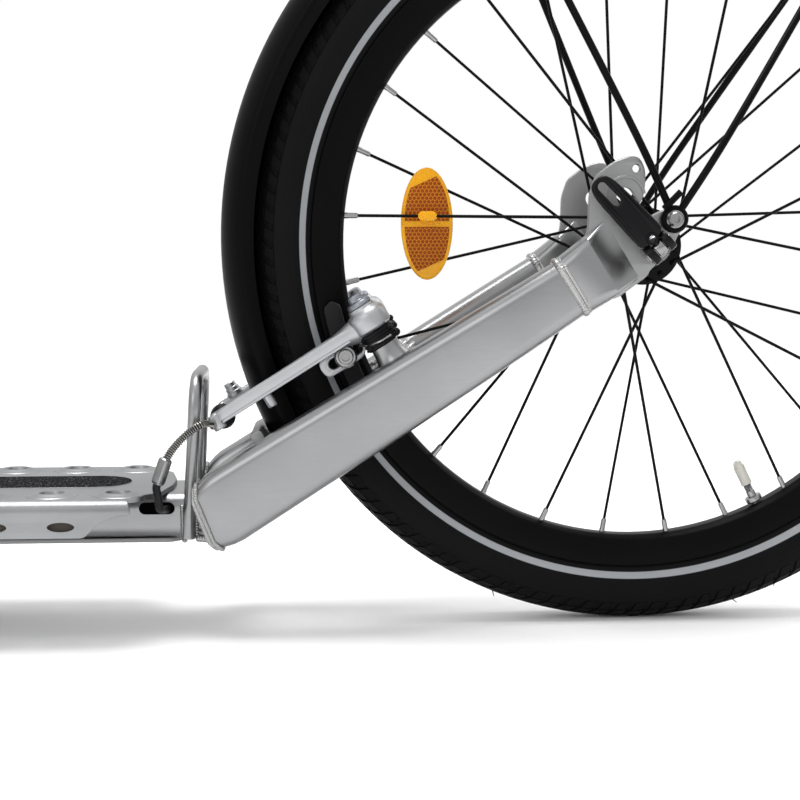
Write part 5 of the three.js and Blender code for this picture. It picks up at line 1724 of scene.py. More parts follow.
    def welds(self) -> Shell:
        """Beads at the collar, at the post and where the stay meets the beam.

        Returns:
            The beads, on the right.
        """
        end = self.middle(1.0)
        p = end + STAY_WAY * -13.2
        closed = around(self.ring(Vector((p.x, self.seat_y, p.z)), 23.6, 34.8, 7.4), 120)
        out = bead(closed, 2.6, loop=True)
        out = out.join(bead([v + STAY_WAY * 2.6 for v in closed], 1.9, loop=True))
        for r, z in ((15.2, -9.6), (12.4, -6.0)):
            foot = [BRAKE_FRAME @ Vector((r * math.cos(t), 43.5 + 0.9 * r * math.sin(t), z))
                    for t in spread(40, 0, 6.28)]
            out = out.join(bead(foot, 2.0, loop=True))
        for share, size, r in ((0.0, 0.8, 1.9), (0.004, 0.9, 1.5)):
            out = out.join(bead(around(self.section(share, size), 100), r, loop=True))
        seam = [self.middle(s) + STAY_UP * -mix(19.5, 19, s) + Vector((0, -8, 0)) for s in spread(10, 0.02, 0.14)]
        return out.join(bead(seam, 2.6))


@dataclass
class MainFrame:
    """Beam under the board, bent up into the down tube, with the head tube, gusset and cable openings."""

    rear_x: float = -262.0
    mid_z: float = 75.6
    bend_r: float = 90.0
    corner_x: float = -712.0
    head_low: float = 410.0
    head_high: float = 566.0
    head_r: float = 22.0
    beam: tuple[float, float, float] = (70.8, 28.8, 9)
    tube: tuple[float, float, float] = (44, 52, 19)

    def __post_init__(self) -> None:
        """Works out the rising tube's direction and where the cable leaves it."""
        self.corner = Vector((self.corner_x, 0, self.mid_z))
        self.joint = STEER @ Vector((0, 0, self.head_low + 110))
        self.way = (self.joint - self.corner).normalized()
        self.rise = math.atan2(self.way.z, -self.way.x)
        self.reach = self.bend_r * math.tan(self.rise / 2)
        self.bend_x = self.corner_x + self.reach
        self.cable_exit = self.joint - self.way * 100

    def on_bend(self, share: float) -> Vector:
        """Middle of the tube at a share of its bend.

        Args:
            share: share of the bend.

        Returns:
            The place.
        """
        t = share * self.rise
        centre = Vector((self.bend_x, 0, self.mid_z + self.bend_r))
        return centre + Vector((-math.sin(t), 0, -math.cos(t))) * self.bend_r

    def stations(self) -> list[tuple[Vector, Vector, float]]:
        """Middle, direction and share of the change of section, along the tube.

        Returns:
            A row of the three for each section.
        """
        out = [(Vector((x, 0, self.mid_z)), Vector((-1, 0, 0)), 0.0) for x in spread(6, self.rear_x, self.bend_x)]
        for s in spread(17)[1:]:
            t = s * self.rise
            out.append((self.on_bend(s), Vector((-math.cos(t), 0, math.sin(t))), s / 2))
        run = (self.joint - self.corner).length - 14
        for s in spread(16)[1:]:
            out.append((self.corner + self.way * mix(self.reach, run, s), self.way, min(1.0, s + 0.5)))
        return out

    def build(self) -> None:
        """Makes the frame, its welds and black plates of painted shade inside its openings."""
        rings = []
        for at, way, share in self.stations():
            up = Vector((way.z, 0, -way.x))
            size = (mix(a, b, ease(share)) for a, b in zip(self.beam, self.tube))
            rings.append([at + up * h + Vector((0, y, 0)) for y, h in box_line(*size, 7)])
        tube = Shell.loft(rings)
        slot_at = (self.rear_x - 45, self.mid_z + 5.2)
        pocket = Shell.side_plate(slot_line(*slot_at, 22.5, 7.6), Side.LEFT, 22, 40, edge=0.01)
        x, _, z = self.cable_exit
        tube = tube.minus(pocket, Shell.bolt((x, 10, z), (x, 30, z), 6, 0.01))
        low, high = self.head_low, self.head_high
        r = self.head_r
        line = [(17.2, low), (r, low), (r + 1.4, low + 0.6), (r + 1.4, low + 9), (r, low + 11), (r, high - 11),
                (r + 1.4, high - 9), (r + 1.4, high - 0.6), (r, high), (17.2, high)]
        head = Shell.turned(line, 64, ring=True).moved(STEER @ UPRIGHT)
        tube.join(self.gusset()).piece("main_frame_tube", ALU, "frame", ("main_frame",), sharp=30)
        head.piece("main_frame_head_tube", ALU, "frame")
        # painted shade: black plates in the slot's pocket and in the cable opening stand in for the shade inside them
        pocket_shade = Shell.side_plate(slot_line(*slot_at, 22.4, 7.5), Side.LEFT, 21, 33.4, edge=0.3)
        exit_shade = Shell.bolt((x, 9, z), (x, 20.8, z), 5.9, 0.3)
        pocket_shade.join(exit_shade).piece("main_frame_openings_inside", PAINTED_OPENING_SHADE, "frame")
        self.welds(rings).piece("main_frame_welds", WELD, "frame")

    def gusset(self) -> Shell:
        """Web between the down tube and the head tube.

        Returns:
            The web.
        """
        low = STEER @ Vector((self.head_r - 2.6, 0, self.head_low + 14))
        far = self.joint - self.way * 150
        waist = (low + far) / 2 + (self.joint - low).normalized() * 16
        line = soften([(p.x, p.z) for p in (low, waist, far, self.joint)], 30, 8)
        return Shell.side_plate(line, Side.RIGHT, -4, 4, edge=1.0)

    def welds(self, rings: list) -> Shell:
        """Beads round the head tube's joint and across the beam's rear end.

        Args:
            rings: sections of the tube, from the rear.

        Returns:
            The beads.
        """
        spots = []
        for p in around(rings[-1], 110):
            local = STEER.inverted() @ p
            near = Vector((local.x, local.y, 0))
            k = (self.head_r + 0.6) / max(near.length, 1e-6)
            spots.append(STEER @ Vector((near.x * k, near.y * k, local.z)))
        out = bead(spots, 3.0, loop=True)
        for side in (-1, 1):
            foot = [Vector((x, side * 37.6, z)) for x, z in ((-281, 62), (-275, 61.4), (-268, 61.5), (-262, 64))]
            up = [Vector((-290.0, side * 36.0, z)) for z in spread(8, 60.5, 70)]
            out = out.join(bead(stepped(foot, 20), 2.6), bead(up, 1.9))
        rear = [Vector((self.rear_x + 0.5, y, 88)) for y in spread(20, -34, 34)]
        return out.join(bead(rear, 2.6))


@dataclass
class Footboard:
    """Folded board with raised holes and slotted flanges, grip tape, and the plate under the beam."""

    rear_x: float = -298.0
    front_x: float = -656.25
    top: float = 93.0
    half: float = 82.0
    roll: float = 7.0
    sheet: float = 3.0
    flange: float = 23.0
    pitch: float = 40.5
    row: float = 58.0
    hole_r: float = 16.2
    slot_shift: float = 8
    slot_drop: float = 9

    @property
    def flat(self) -> float:
        """Half width of the flat top."""
        return self.half - self.roll

    @property
    def arc_run(self) -> float:
        """Length of sheet in one of the rolled edges."""
        return self.roll * math.pi / 2

    def holes(self) -> list[float]:
        """Places of the raised holes."""
        count = int((self.rear_x - self.front_x - 60) / self.pitch) + 1
        return [self.rear_x - 30 - k * self.pitch for k in range(count)]

    def build(self) -> None:
        """Makes the board, thin plates of painted shade behind its flange slots, tape, trim and skid plate."""
        board = self.dress(self.fold(self.pattern()))
        board.piece("deck_plate_folded", ALU_SHEET, "frame", ("deck_plate",), sharp=38)
        # painted shade: a thin brown-grey plate just inside each flange slot, where the shade behind it falls
        slot_shades = Shell()
        for side in Side:
            for x in self.holes()[1:]:
                line = slot_line(x + self.slot_shift, self.top - self.roll - self.slot_drop, 18, 7.4)
                slot_shades = slot_shades.join(Shell.side_plate(line, side, self.half - 3.6, self.half - 3.05, edge=0.1))
        slot_shades.piece("deck_slot_insides", PAINTED_SLOT_SHADE, "frame")
        self.build_tape()
        self.build_skid()

    def pattern(self) -> Shell:
        """Flat sheet with its scalloped ends and its holes, before it is folded.

        Returns:
            The sheet.
        """
        flat, corner = self.flat, []
        depth = lambda d: flat + self.arc_run + d - self.roll
        for e, into in ((self.rear_x, -1), (self.front_x, 1)):
            s = e + into * 23
            corner.append([
                (e, 14), (e + into * 5, 47), (s + into * 3, flat - 1), (s - into * 1, flat + 4),
                (s - into * 2.5, depth(8.8)), (s + into * 8, depth(10.2)), (s + into * 17, depth(14.3)),
                (s + into * 22, depth(19)), (s + into * 26, depth(self.flange))])
        line = soften(mirrored(corner[0] + corner[1][::-1]), 2.5, 3)
        holes = [circle(x, side * self.row, self.hole_r, 40) for x in self.holes() for side in (-1, 1)]
        u = flat + self.arc_run + self.slot_drop
        oval = [(8.2 * a, 2.9 * b) for a, b in circle(0, 0, 1, 36)]
        holes += [[(x + self.slot_shift + a, side * u + b) for a, b in oval]
                  for x in self.holes()[1:] for side in (-1, 1)]
        cutters = [Shell.plate(hole, -1, self.sheet + 1, edge=0.01) for hole in holes]
        return Shell.plate(line, 0, self.sheet, edge=0.45).minus(Shell().join(*cutters))

    def dress(self, board: Shell) -> Shell:
        """Adds the raised rims of the holes and the punch marks between them.

        Args:
            board: the folded sheet.

        Returns:
            The sheet with both rows on each side.
        """
        dimple = [(self.hole_r, 0), (16.35, 0), (15.6, 0.5), (14.6, 0.35), (13.4, 0.5), (11.6, 1.2), (10.0, 1.9),
                  (9.0, 2.1), (8.1, 1.9), (7.5, 1.1), (7.3, -3), (8.6, -3), (9.2, -1.4), (12.5, -2.4),
                  (self.hole_r, -3)]
        ring = Shell.turned(dimple, 40, ring=True).moved(UPRIGHT)
        mark = Shell.turned([(0, 0.45), (0.9, 0.4), (1.7, 0.02), (1.8, -0.6), (0, -0.6)], 12).moved(UPRIGHT)
        small = mark.moved(Matrix.Translation((1.5, 0.8, 0)) @ Matrix.Scale(0.7, 4))
        pair = mark.moved(Matrix.Translation((-1.5, 0, 0))).join(small)
        rows = Growers.get(row_grower)
        first, count, step = self.holes()[0], len(self.holes()), (-self.pitch, 0, 0)
        for side in (-1, 1):
            y = side * self.row
            board = board.join(
                rows.grow(ring, ALU_SHEET, Count=count, Start=(first, y, self.top), Step=step),
                rows.grow(pair, ALU_SHEET, Count=count - 1, Start=(first - self.pitch / 2, y, self.top), Step=step))
        return board

    def fold(self, pattern: Shell) -> Shell:
        """Folds the flat pattern's sides down.

        Args:
            pattern: the flat sheet.

        Returns:
            The folded board.
        """
        flat, arc_run = self.flat, self.arc_run
        mesh = pattern.mesh("pattern")
        work = bmesh.new()
        work.from_mesh(mesh)
        for run in spread(9, 0.2, arc_run - 0.2):
            for side in (-1, 1):
                geometry = work.verts[:] + work.edges[:] + work.faces[:]
                bmesh.ops.bisect_plane(work, geom=geometry, plane_co=(0, side * (flat + run), 0), plane_no=(0, 1, 0))
        out = Shell([v.co for v in work.verts], [[v.index for v in f.verts] for f in work.faces])
        work.free()
        bpy.data.meshes.remove(mesh)

        def bend(v: Vector) -> Vector:
            """Place of a pattern point on the folded board.

            Args:
                v: point of the pattern.

            Returns:
                Its place.
            """
            u, w = abs(v.y), self.sheet - v.z
            side = 1 if v.y > 0 else -1
            r = self.roll - w
            if u <= flat:
                return Vector((v.x, v.y, self.top - w))
            if u <= flat + arc_run:
                t = (u - flat) / self.roll
                return Vector((v.x, side * (flat + r * math.sin(t)), self.top - self.roll + r * math.cos(t)))
            return Vector((v.x, side * (flat + r), self.top - self.roll - (u - flat - arc_run)))

        return out.warped(bend)

    def build_tape(self) -> None:
        """Grip tape with its bright rim."""
        mid, length = (self.rear_x + self.front_x) / 2, self.rear_x - self.front_x - 56
        rim = Shell.plate(slot_line(mid, 0, length + 1.6, 50.6, 0, 24), self.top - 0.2, self.top + 0.28, edge=0.2)
        rim.piece("grip_tape_rim", ALU_SHEET, "frame")
        tape = Shell.plate(slot_line(mid, 0, length, 49, 0, 24), self.top - 0.1, self.top + 0.8, edge=0.3)
        tape.piece("grip_tape_grit", TAPE, "frame", ("grip_tape",))

    def build_skid(self) -> None:
        """Skid plate under the beam."""
        x, far, c = self.rear_x + 7, -656.55 + 12, 8
        line = [(far, -30), (x - c, -30), (x, c - 30), (x, 30 - c), (x - c, 30), (far, 30)]
        sheet = Shell.plate(soften(line, 3), 58.2, 61.2, edge=0.6)
        sheet.piece("skid_plate_sheet", ALU_PLAIN, "frame", ("skid_plate",))


@dataclass
class GuardBow:
    """Round bow over the rear of the board, welded to both sides of the beam."""

    x: float = -286.5
    y: float = 39.6
    low: float = 62.0
    rise: float = 100.7
    rod_r: float = 3.95
    bead_r: float = 1.5

    def build(self) -> None:
        """Makes the rod and the beads at its feet."""
        x, y, low = self.x, self.y, self.low
        half = [(x - 0.8, y, low), (x + 6.5, y, low + self.rise)]
        path = bent([(a, -b, c) for a, b, c in half] + half[::-1], 21, 14)
        rod = Shell.tube(stepped(path, 150), self.rod_r, 28)
        rod.piece("guard_bow_rod", ALU, "frame", ("guard_bow",), sharp=50)
        seams = [[Vector((x + dx, side * (y - 2.0), z)) for z in spread(12, low + 1, low + 20)]
                 for side in (-1, 1) for dx in (-4.4, 4.2)]
        Shell().join(*(bead(seam, self.bead_r) for seam in seams)).piece("guard_bow_welds", WELD, "frame")


@dataclass
class StayBridge:
    """Cross piece between the stays that carries the mudguard, placed round the rear axle."""

    angle: float = 207.4
    near: float = 264.6 + 1.1
    depth: float = 8
    height: float = 22
    half: float = 36.2

    def build(self) -> None:
        """Makes the block."""
        c, s = math.cos(self.angle * DEG), math.sin(self.angle * DEG)
        line = []
        for out, along in ((0, -1), (1, -1), (1.1, 0.67), (0.75, 1), (0.25, 1), (0, 0.67)):
            a, b = self.near + out * self.depth, along * self.height / 2
            line.append((a * c - b * s, HUB_Z + a * s + b * c))
        block = Shell.side_plate(soften(line, 2.5), Side.RIGHT, -self.half, self.half, edge=0.8)
        block.piece("stay_bridge_block", ALU_DROP, "frame", ("stay_bridge",))


# ---- rim brakes


ARM = 116  # from the pivot to the cable's seat
TIP_Y = 34  # the seat from the middle
LINK_Z = 22.2  # the cable between the arms
GUIDE_UNIT = 40
PAD_X, PAD_Z = -24.3, 13
PAD_GAP = 1.8
PAD_THICK = 9.5


def guide_point(share: tuple[float, float, float]) -> Vector:
    """Place on the guide tube's route, in the brake's frame."""
    x, y, z = share
    return Vector((GUIDE_UNIT * x - ARM, GUIDE_UNIT * y - TIP_Y, GUIDE_UNIT * z + LINK_Z))


@dataclass
class RimBrake:
    """Pair of brake arms with springs, pads, link cable and guide tube."""

    name: str
    place: Matrix
    axle: Vector
    fixed: str
    guide_hand: str
    clamp_hand: str
    rim_half: float
    guide: tuple

    def build(self) -> None:
        """Makes all pieces."""
        for side, hand in ((-1, self.guide_hand), (1, self.clamp_hand)):
            body = f"{self.name}_arm_{hand}"
            self.make_arm(side, hand, body)
            self.make_bolt(side, hand, body)
            self.make_pad(side, hand, body)
            self.make_spring(side, hand, body)
            self.make_cap(side, hand)
        self.make_link(f"{self.name}_arm_{self.guide_hand}")
        self.make_guide(f"{self.name}_arm_{self.guide_hand}")

    def put(self, shell: Shell, name: str, finish: Finish, body: str, replaces: tuple = (), sharp: float = 30) -> None:
        """Makes a piece in the brake's place."""
        shell.moved(self.place).piece(f"{self.name}_{name}", finish, body, replaces, sharp=sharp)

    def across(self, along: float) -> float:
        """Middle of the arm at a distance from its pivot."""
        return mix(PIVOT_Y, TIP_Y, max(0.0, along / ARM))

    def outline(self, side: int, shares: tuple, unit: float, reach: float, steps: int) -> list[tuple[float, float]]:
        """Outline along the arm.

        Args:
            side: side of the brake's frame.
            shares: places as shares of the arm's length and distances from its middle.
            unit: factor on those distances.
            reach: where a bend starts before its corner.
            steps: steps in a bend.

        Returns:
            The outline.
        """
        return soften([(-a * ARM, side * (self.across(a * ARM) + b * unit)) for a, b in shares], reach, steps)

    def make_arm(self, side: int, hand: str, body: str) -> None:
        """Tapered arm with its dome, raised edge, slotted tab, peg and, on the clamp's side, the cable clamp.

        Args:
            side: side of the brake's frame.
            hand: rider's side.
            body: body that it rides on.
        """
        shares = ((-0.06, 0.75), (0.12, 0.85), (0.52, 0.66), (1, 0.55), (1, -0.5), (0.52, -0.35), (0.34, -0.6),
                  (0.1, -1), (-0.06, -0.75))
        arm = Shell.plate(self.outline(side, shares, 8, 9, 6), 19.8, 27.6, edge=2.4)
        shares = ((0.2, 4.3), (0.52, 3.2), (0.93, 2.3), (0.93, -2.0), (0.52, -1.0), (0.36, -2.4), (0.2, -4.0))
        inset = self.outline(side, shares, 1, 5, 5)
        arm = arm.minus(Shell.plate(inset, 26.9, 30, edge=0.01))
        bulge = Shell.plate(inset, 25.8, 27.15, edge=0.6)
        shares = ((0.14, 0.84), (0.52, 0.66), (0.96, 0.56), (0.96, 0.42), (0.52, 0.5), (0.14, 0.66))
        lip = Shell.plate(self.outline(side, shares, 8, 2, 4), 18.9, 21, edge=0.7)
        dome = [(4.3, 8), (8.2, 8), (8.6, 9), (8.8, 17.4), (11.2, 18.0), (12.3, 19.2), (12.6, 21.2), (12.6, 26.6),
                (12.2, 28.6), (11.0, 30.6), (9.4, 31.6), (8.8, 32.4), (8.5, 34.2), (4.3, POST_TOP)]
        sleeve = Shell.turned(dome, 56, ring=True).moved(pivot_frame(side))
        neck = [Vector((-x, side * self.across(x), z))
                for x, z in ((34, 23.6), (26, 23.4), (18, 23.0), (11, 22.6), (4, 22.4))]
        arm = arm.join(bulge, lip, sleeve, Shell.tube(neck, [3.4, 4.3, 5.9, 7.9, 8.6], 28), *self.tab(side))
        peg_y = side * self.across(79)
        peg = Shell.bolt((-79, peg_y, 11), (-79, peg_y, 22), 3.2, 0.8)
        tip = Shell.plate(circle(-ARM * 0.985, side * 34.2, 4.6, 32), 16.4, 26.8, edge=1.2)
        arm = arm.join(peg, tip)
        if hand == self.clamp_hand:
            steps = [(0, 0), (5.6, 0), (5.6, 2.6), (4.8, 3.2), (4.8, 5.4), (4.0, 6), (4.0, 8.6), (3.4, 9.2), (0, 9.2)]
            arm = arm.join(Shell.knob(steps, 32, Vector((-101.5, side * TIP_Y, 26)), Vector((0, 0, 1))))
        self.put(arm, f"arm_{hand}_forged", BRAKE, body, (f"{self.name}_brake_arm_{hand}",), sharp=28)

    def tab(self, side: int) -> tuple[Shell, Shell]:
        """Slotted tab that holds the pad's bolt, and the raised rim of its slot.

        Args:
            side: side of the brake's frame, as a sign.

        Returns:
            The tab and the rim.
        """
        near, far, stand = 34.0, 38.4, Side.of(side)
        shares = ((1, 0.1), (0.8, 0), (0.16, 0), (0, 0.2), (0, 1), (1, 1))
        line = soften([(-11 - a * 31, 6.5 + b * 13.5) for a, b in shares], 7, 6)
        hole, outer, inner = (slot_line(PAD_X, PAD_Z, *size) for size in ((24, 6.2), (27.6, 9.8), (25, 7.2)))
        return (Shell.side_plate(line, stand, near, far, [hole], edge=0.8),
                Shell.side_plate(outer, stand, far - 0.4, far + 0.7, [inner], edge=0.3))

    def make_bolt(self, side: int, hand: str, body: str) -> None:
        """Pad bolt with its cone washers and socket head.

        Args:
            side: side of the brake's frame, as a sign.
            hand: rider's side.
            body: body that it rides on.
        """
        back = self.rim_half + PAD_GAP + PAD_THICK + 0.3
        line = [(0, back), (6.6, back), (6.6, 34), (6.9, 38.4), (7.2, 38.9), (7.2, 40.6), (6.0, 41.8), (4.9, 42.0),
                (4.7, 42.6), (4.7, 46.2), (4.2, 46.8), (2.6, 46.8), (2.4, 44.2), (0, 44.2)]
        place = Matrix.Translation((PAD_X, 0, PAD_Z))
        shell = Shell.turned([(r, side * h) for r, h in line], 40).moved(place)
        self.put(shell, f"pad_bolt_{hand}", STEEL, body)

    def make_cap(self, side: int, hand: str) -> None:
        """Two-stepped cap of the pivot bolt.

        Args:
            side: side of the brake's frame, as a sign.
            hand: rider's side.
        """
        steps = [(0, 34.5), (7.8, 34.5), (8.1, 35.1), (7.9, 36.4), (7.0, 37.6), (5.2, 38.2), (4.9, 38.6), (4.8, 40.6),
                 (4.2, 42.0), (2.6, 42.8), (0, 43.0)]
        self.put(Shell.turned(steps, 40).moved(pivot_frame(side)), f"pivot_bolt_{hand}", ZINC, self.fixed)

    def make_spring(self, side: int, hand: str, body: str) -> None:
        """Ribbed black spring housing with its knobs.

        Args:
            side: side of the brake's frame, as a sign.
            hand: rider's side.
            body: body that it rides on.
        """
        line = [(4.4, 7.2), (9.6, 7.2)]
        for i in range(5):
            line += [(r, h + i * 1.95) for r, h in ((11.6, 7.6), (11.6, 8.7), (10.7, 8.9), (10.7, 9.35))]
        line += [(10.4, 17.6), (4.4, 17.7)]
        shell = Shell.turned(line, 48, ring=True).moved(pivot_frame(side))
        for x, y, z, r in ((10.5, 3, 9.5, 2.6), (11.5, -1.5, 13.5, 2.2), (-8.5, 6.5, 9.0, 2.4), (8.5, 7.0, 14.5, 1.9)):
            at = Vector((x, side * (PIVOT_Y + y), z))
            ball = [(r * math.cos(t * DEG), r * math.sin(t * DEG)) for t in spread(9, -90, 90)]
            shell = shell.join(Shell.turned(ball, 16).moved(Matrix.Translation(at)))
        self.put(shell, f"spring_{hand}", SPRING_BLACK, body)
        y = side * 52.2
        leaf = flowing([(7, y, 10), (-2, y + side * 0.6, 10.5), (-9, y - side * 4, 12), (-13, y - side * 10, 14)], 24)
        self.put(Shell.tube(leaf, 0.8, 10), f"spring_wire_{hand}", STEEL, body)

    def make_pad(self, side: int, hand: str, body: str) -> None:
        """Rubber pad that follows the rim, with cooling notches.

        Args:
            side: side of the brake's frame, as a sign.
            hand: rider's side.
            body: body that it rides on.
        """
        face = self.rim_half + PAD_GAP
        dx, dz = PAD_X - self.axle.x, PAD_Z - self.axle.z
        way, reach = math.atan2(dz, dx), math.hypot(dx, dz)
        line = []
        round_end = lambda s: math.sqrt(max(0.02, 1 - max(0.0, (abs(s) - 0.84) / 0.16) ** 2))
        for s in spread(25, -1, 1):
            notch = 0.9 if abs(abs(s) - 0.45) < 0.03 else 0.0
            line.append((5.5 * round_end(s) - notch, s * 34))
        line += [(-5.5 * round_end(s), s * 34) for s in spread(25, 1, -1)]
        pts = []
        for r, v in line:
            t = way + v / reach
            pts.append((self.axle.x + (reach + r) * math.cos(t), self.axle.z + (reach + r) * math.sin(t)))
        shell = Shell.side_plate(pts, Side.of(side), face, face + PAD_THICK, edge=1.2)
        self.put(shell, f"pad_{hand}_rubber", RUBBER, body, (f"{self.name}_pad_{hand}",))

    def make_link(self, body: str) -> None:
        """Bare cable with its bellows boot.

        Args:
            body: body that it rides on.
        """
        tip = TIP_Y - 4.6
        folds = [(1.2, -tip - 6.4), (5.8, -tip - 6), (7.4, -tip - 4), (7.6, -tip - 1)]
        for i in range(9):
            folds += [(8.0 - i * 0.5, -tip + i * 2.5), (5.9 - i * 0.42, -tip + 1.3 + i * 2.5)]
        folds += [(1.2, -tip + 24.5), (0.85, -tip + 25), (0.85, tip + 8)]
        shell = Shell.turned([(0, -tip - 6.4), *folds, (0, tip + 8)], 28).moved(Matrix.Translation((-110, 0, LINK_Z)))
        self.put(shell, "brake_link_boot", BOOT, body, (f"{self.name}_brake_link",), sharp=60)

    def make_guide(self, body: str) -> None:
        """Bent guide tube, smooth at the arm and ribbed beyond, with a squared ferrule.

        Args:
            body: body that it rides on.
        """
        at = [guide_point(share) for share in self.guide]
        steps, ribs, start, end = 420, 22, 0.34, 0.96
        path = flowing(at[:-1], steps)
        radii = []
        for i in range(len(path)):
            s = i / steps
            wave = (s - start) / 0.62 * ribs % 1.0
            radii.append((1.4 if wave < 0.5 else 2.6) if start < s < end else 2.2)
        self.put(Shell.tube(path, radii, 20), "guide_tube", CHROME, body, (f"{self.name}_guide",), sharp=70)
        self.put(Shell.tube(path[105:413], 1.95, 16), "guide_core", HOUSING, body, sharp=70)
        way = (at[-1] - at[-2]).normalized()
        span = (at[-1] - at[-2]).length
        square = [box_line(w, w, 1.4, 3) for w in (5.0, 6.6, 6.8, 6.8, 6.2, 5.6)]
        rings = []
        for line, run in zip(square, (-2.0, -1.2, 0.2, span - 2.4, span - 0.6, span)):
            stand = axis_frame(at[-2] + way * run, way)
            rings.append([stand @ Vector((x, 0, z)) for x, z in line])
        self.put(Shell.loft(rings), "guide_ferrule", STEEL, body, sharp=25)


REAR_GUIDE = ((-0.045, -0.122, -0.033), (-0.034, -0.3, 0.031), (-0.155, -0.5, 0.107), (-0.392, -0.575, 0.105),
              (-0.72, -0.6, 0.025), (-0.906, -0.6, -0.065), (-1.202, -0.6, -0.293))
FRONT_GUIDE = ((0.175, -0.145, 0), (0.167, -0.25, 0.005), (0.033, -0.55, 0.02), (-0.317, -0.713, 0.07),
               (-0.667, -0.725, 0.12), (-1.083, -0.705, 0.17))
REAR_BRAKE = RimBrake(
    "rear", place=BRAKE_FRAME, axle=BRAKE_FRAME.inverted() @ Vector((0, 0, HUB_Z)), fixed="frame",
    guide_hand="left", clamp_hand="right", rim_half=REAR_WHEEL.rim_half, guide=REAR_GUIDE)
FRONT_BRAKE = RimBrake(
    "front", place=FRONT_FRAME, axle=FRONT_FRAME.inverted() @ Vector((FRONT[0], 0, FRONT[1])), fixed="steering",
    guide_hand="right", clamp_hand="left", rim_half=FRONT_WHEEL.rim_half, guide=FRONT_GUIDE)


# ---- steering


def on_steer(x: float, y: float, z: float) -> Vector:
    """Point of the steering frame in the bike's frame."""
    return STEER @ Vector((x, y, z))


@dataclass
class Fork:
    """Fork with curved legs, crown, steerer, dropouts and brake posts."""

    crown: float = 397.0
    top_r: float = 13.0
    foot_r: float = 8.5
    rake: float = 45.0
    foot_y: float = 58.5

    def build(self) -> None:
        """Makes all pieces."""
        shell, welds = Shell(), Shell()
        for side in (-1, 1):
            shell = shell.join(self.leg(side), self.post(side))
            seam = [on_steer(9.5 * math.cos(t) - 38, side * (self.foot_y + 6 * math.sin(t)), 19)
                    for t in spread(24, 0, 6.28)]
            welds = welds.join(bead(seam, 2.2, loop=True))
        top = [(0, 384), (14, 384), (16, 388), (17.4, 392), (18, 396), (18, 400.6), (14.3, 400.7), (14.3, 616.3),
               (0, 616.3)]
        boss = Shell.bolt((0, 0, 368.2), (0, 0, 386), 4.5)
        shell = shell.join(Shell.turned(top, 48).moved(UPRIGHT), boss).moved(STEER)
        shell.piece("fork_legs", ALU, "steering", ("fork",), sharp=40)
        self.dropouts().moved(STEER).piece("fork_dropouts", ALU_DROP, "steering")
        welds.piece("fork_welds", WELD, "steering")

    def leg(self, side: int) -> Shell:
        """One leg from the crown to the dropout.

        Args:
            side: side of the fork, as a sign.

        Returns:
            The leg.
        """
        shares = ((0, 0, 0, 0.98), (0, 0.52, 0, 0.977), (0, 0.92, 0, 0.935), (0, 1, 0, 0.85), (0, 1, 0.37, 0.5),
                  (-0.09, 1, 0.62, 0.28), (-0.36, 1, 0.87, 0.126))
        points = [(a * self.rake, side * mix(b * 46.5, self.foot_y, c), d * self.crown) for a, b, c, d in shares]
        steps = 80
        path = flowing([*points, (-self.rake + 4.5, side * self.foot_y, 15)], steps)
        return Shell.tube(path, [mix(self.top_r, self.foot_r, i / steps) for i in range(steps + 1)], 28)

    def post(self, side: int) -> Shell:
        """Brake post on a leg, in the steering frame.

        Args:
            side: side of the brake's frame, as a sign.

        Returns:
            The post.
        """
        line = [(0, -16), (11, -16), (10.2, -8), (9, 0), (8.5, 4), (8.4, 6.6), (8.0, 7), (4, 7.2), (4, POST_TOP),
                (0, POST_TOP)]
        shell = Shell.turned(line, 40).moved(pivot_frame(side))
        return shell.moved(STEER.inverted() @ FRONT_FRAME)

    def dropouts(self) -> Shell:
        """Both fork ends.

        Returns:
            Both plates.
        """
        shares = ((0.82, 1.18), (-0.09, 1.18), (-0.45, 0.55), (-0.5, -0.18), (-0.27, -0.55), (0.27, -0.55),
                  (0.59, -0.36), (0.91, -0.45), (1.27, -0.23), (1.27, 0.14), (0.91, 0.41))
        line = soften([(a * 22 - self.rake, b * 22) for a, b in shares], 5, 5)
        out = Shell()
        for side in Side:
            flat = Shell.side_plate(line, side, 50, 56, [circle(22 - self.rake, -2, 2.4)], edge=0.9)
            seat = Shell.side_plate(slot_line(-self.rake, -8, 25.6, 9.6, 90, 12), side, 45, 62, edge=0.01)
            out = out.join(flat.minus(seat))
        return out


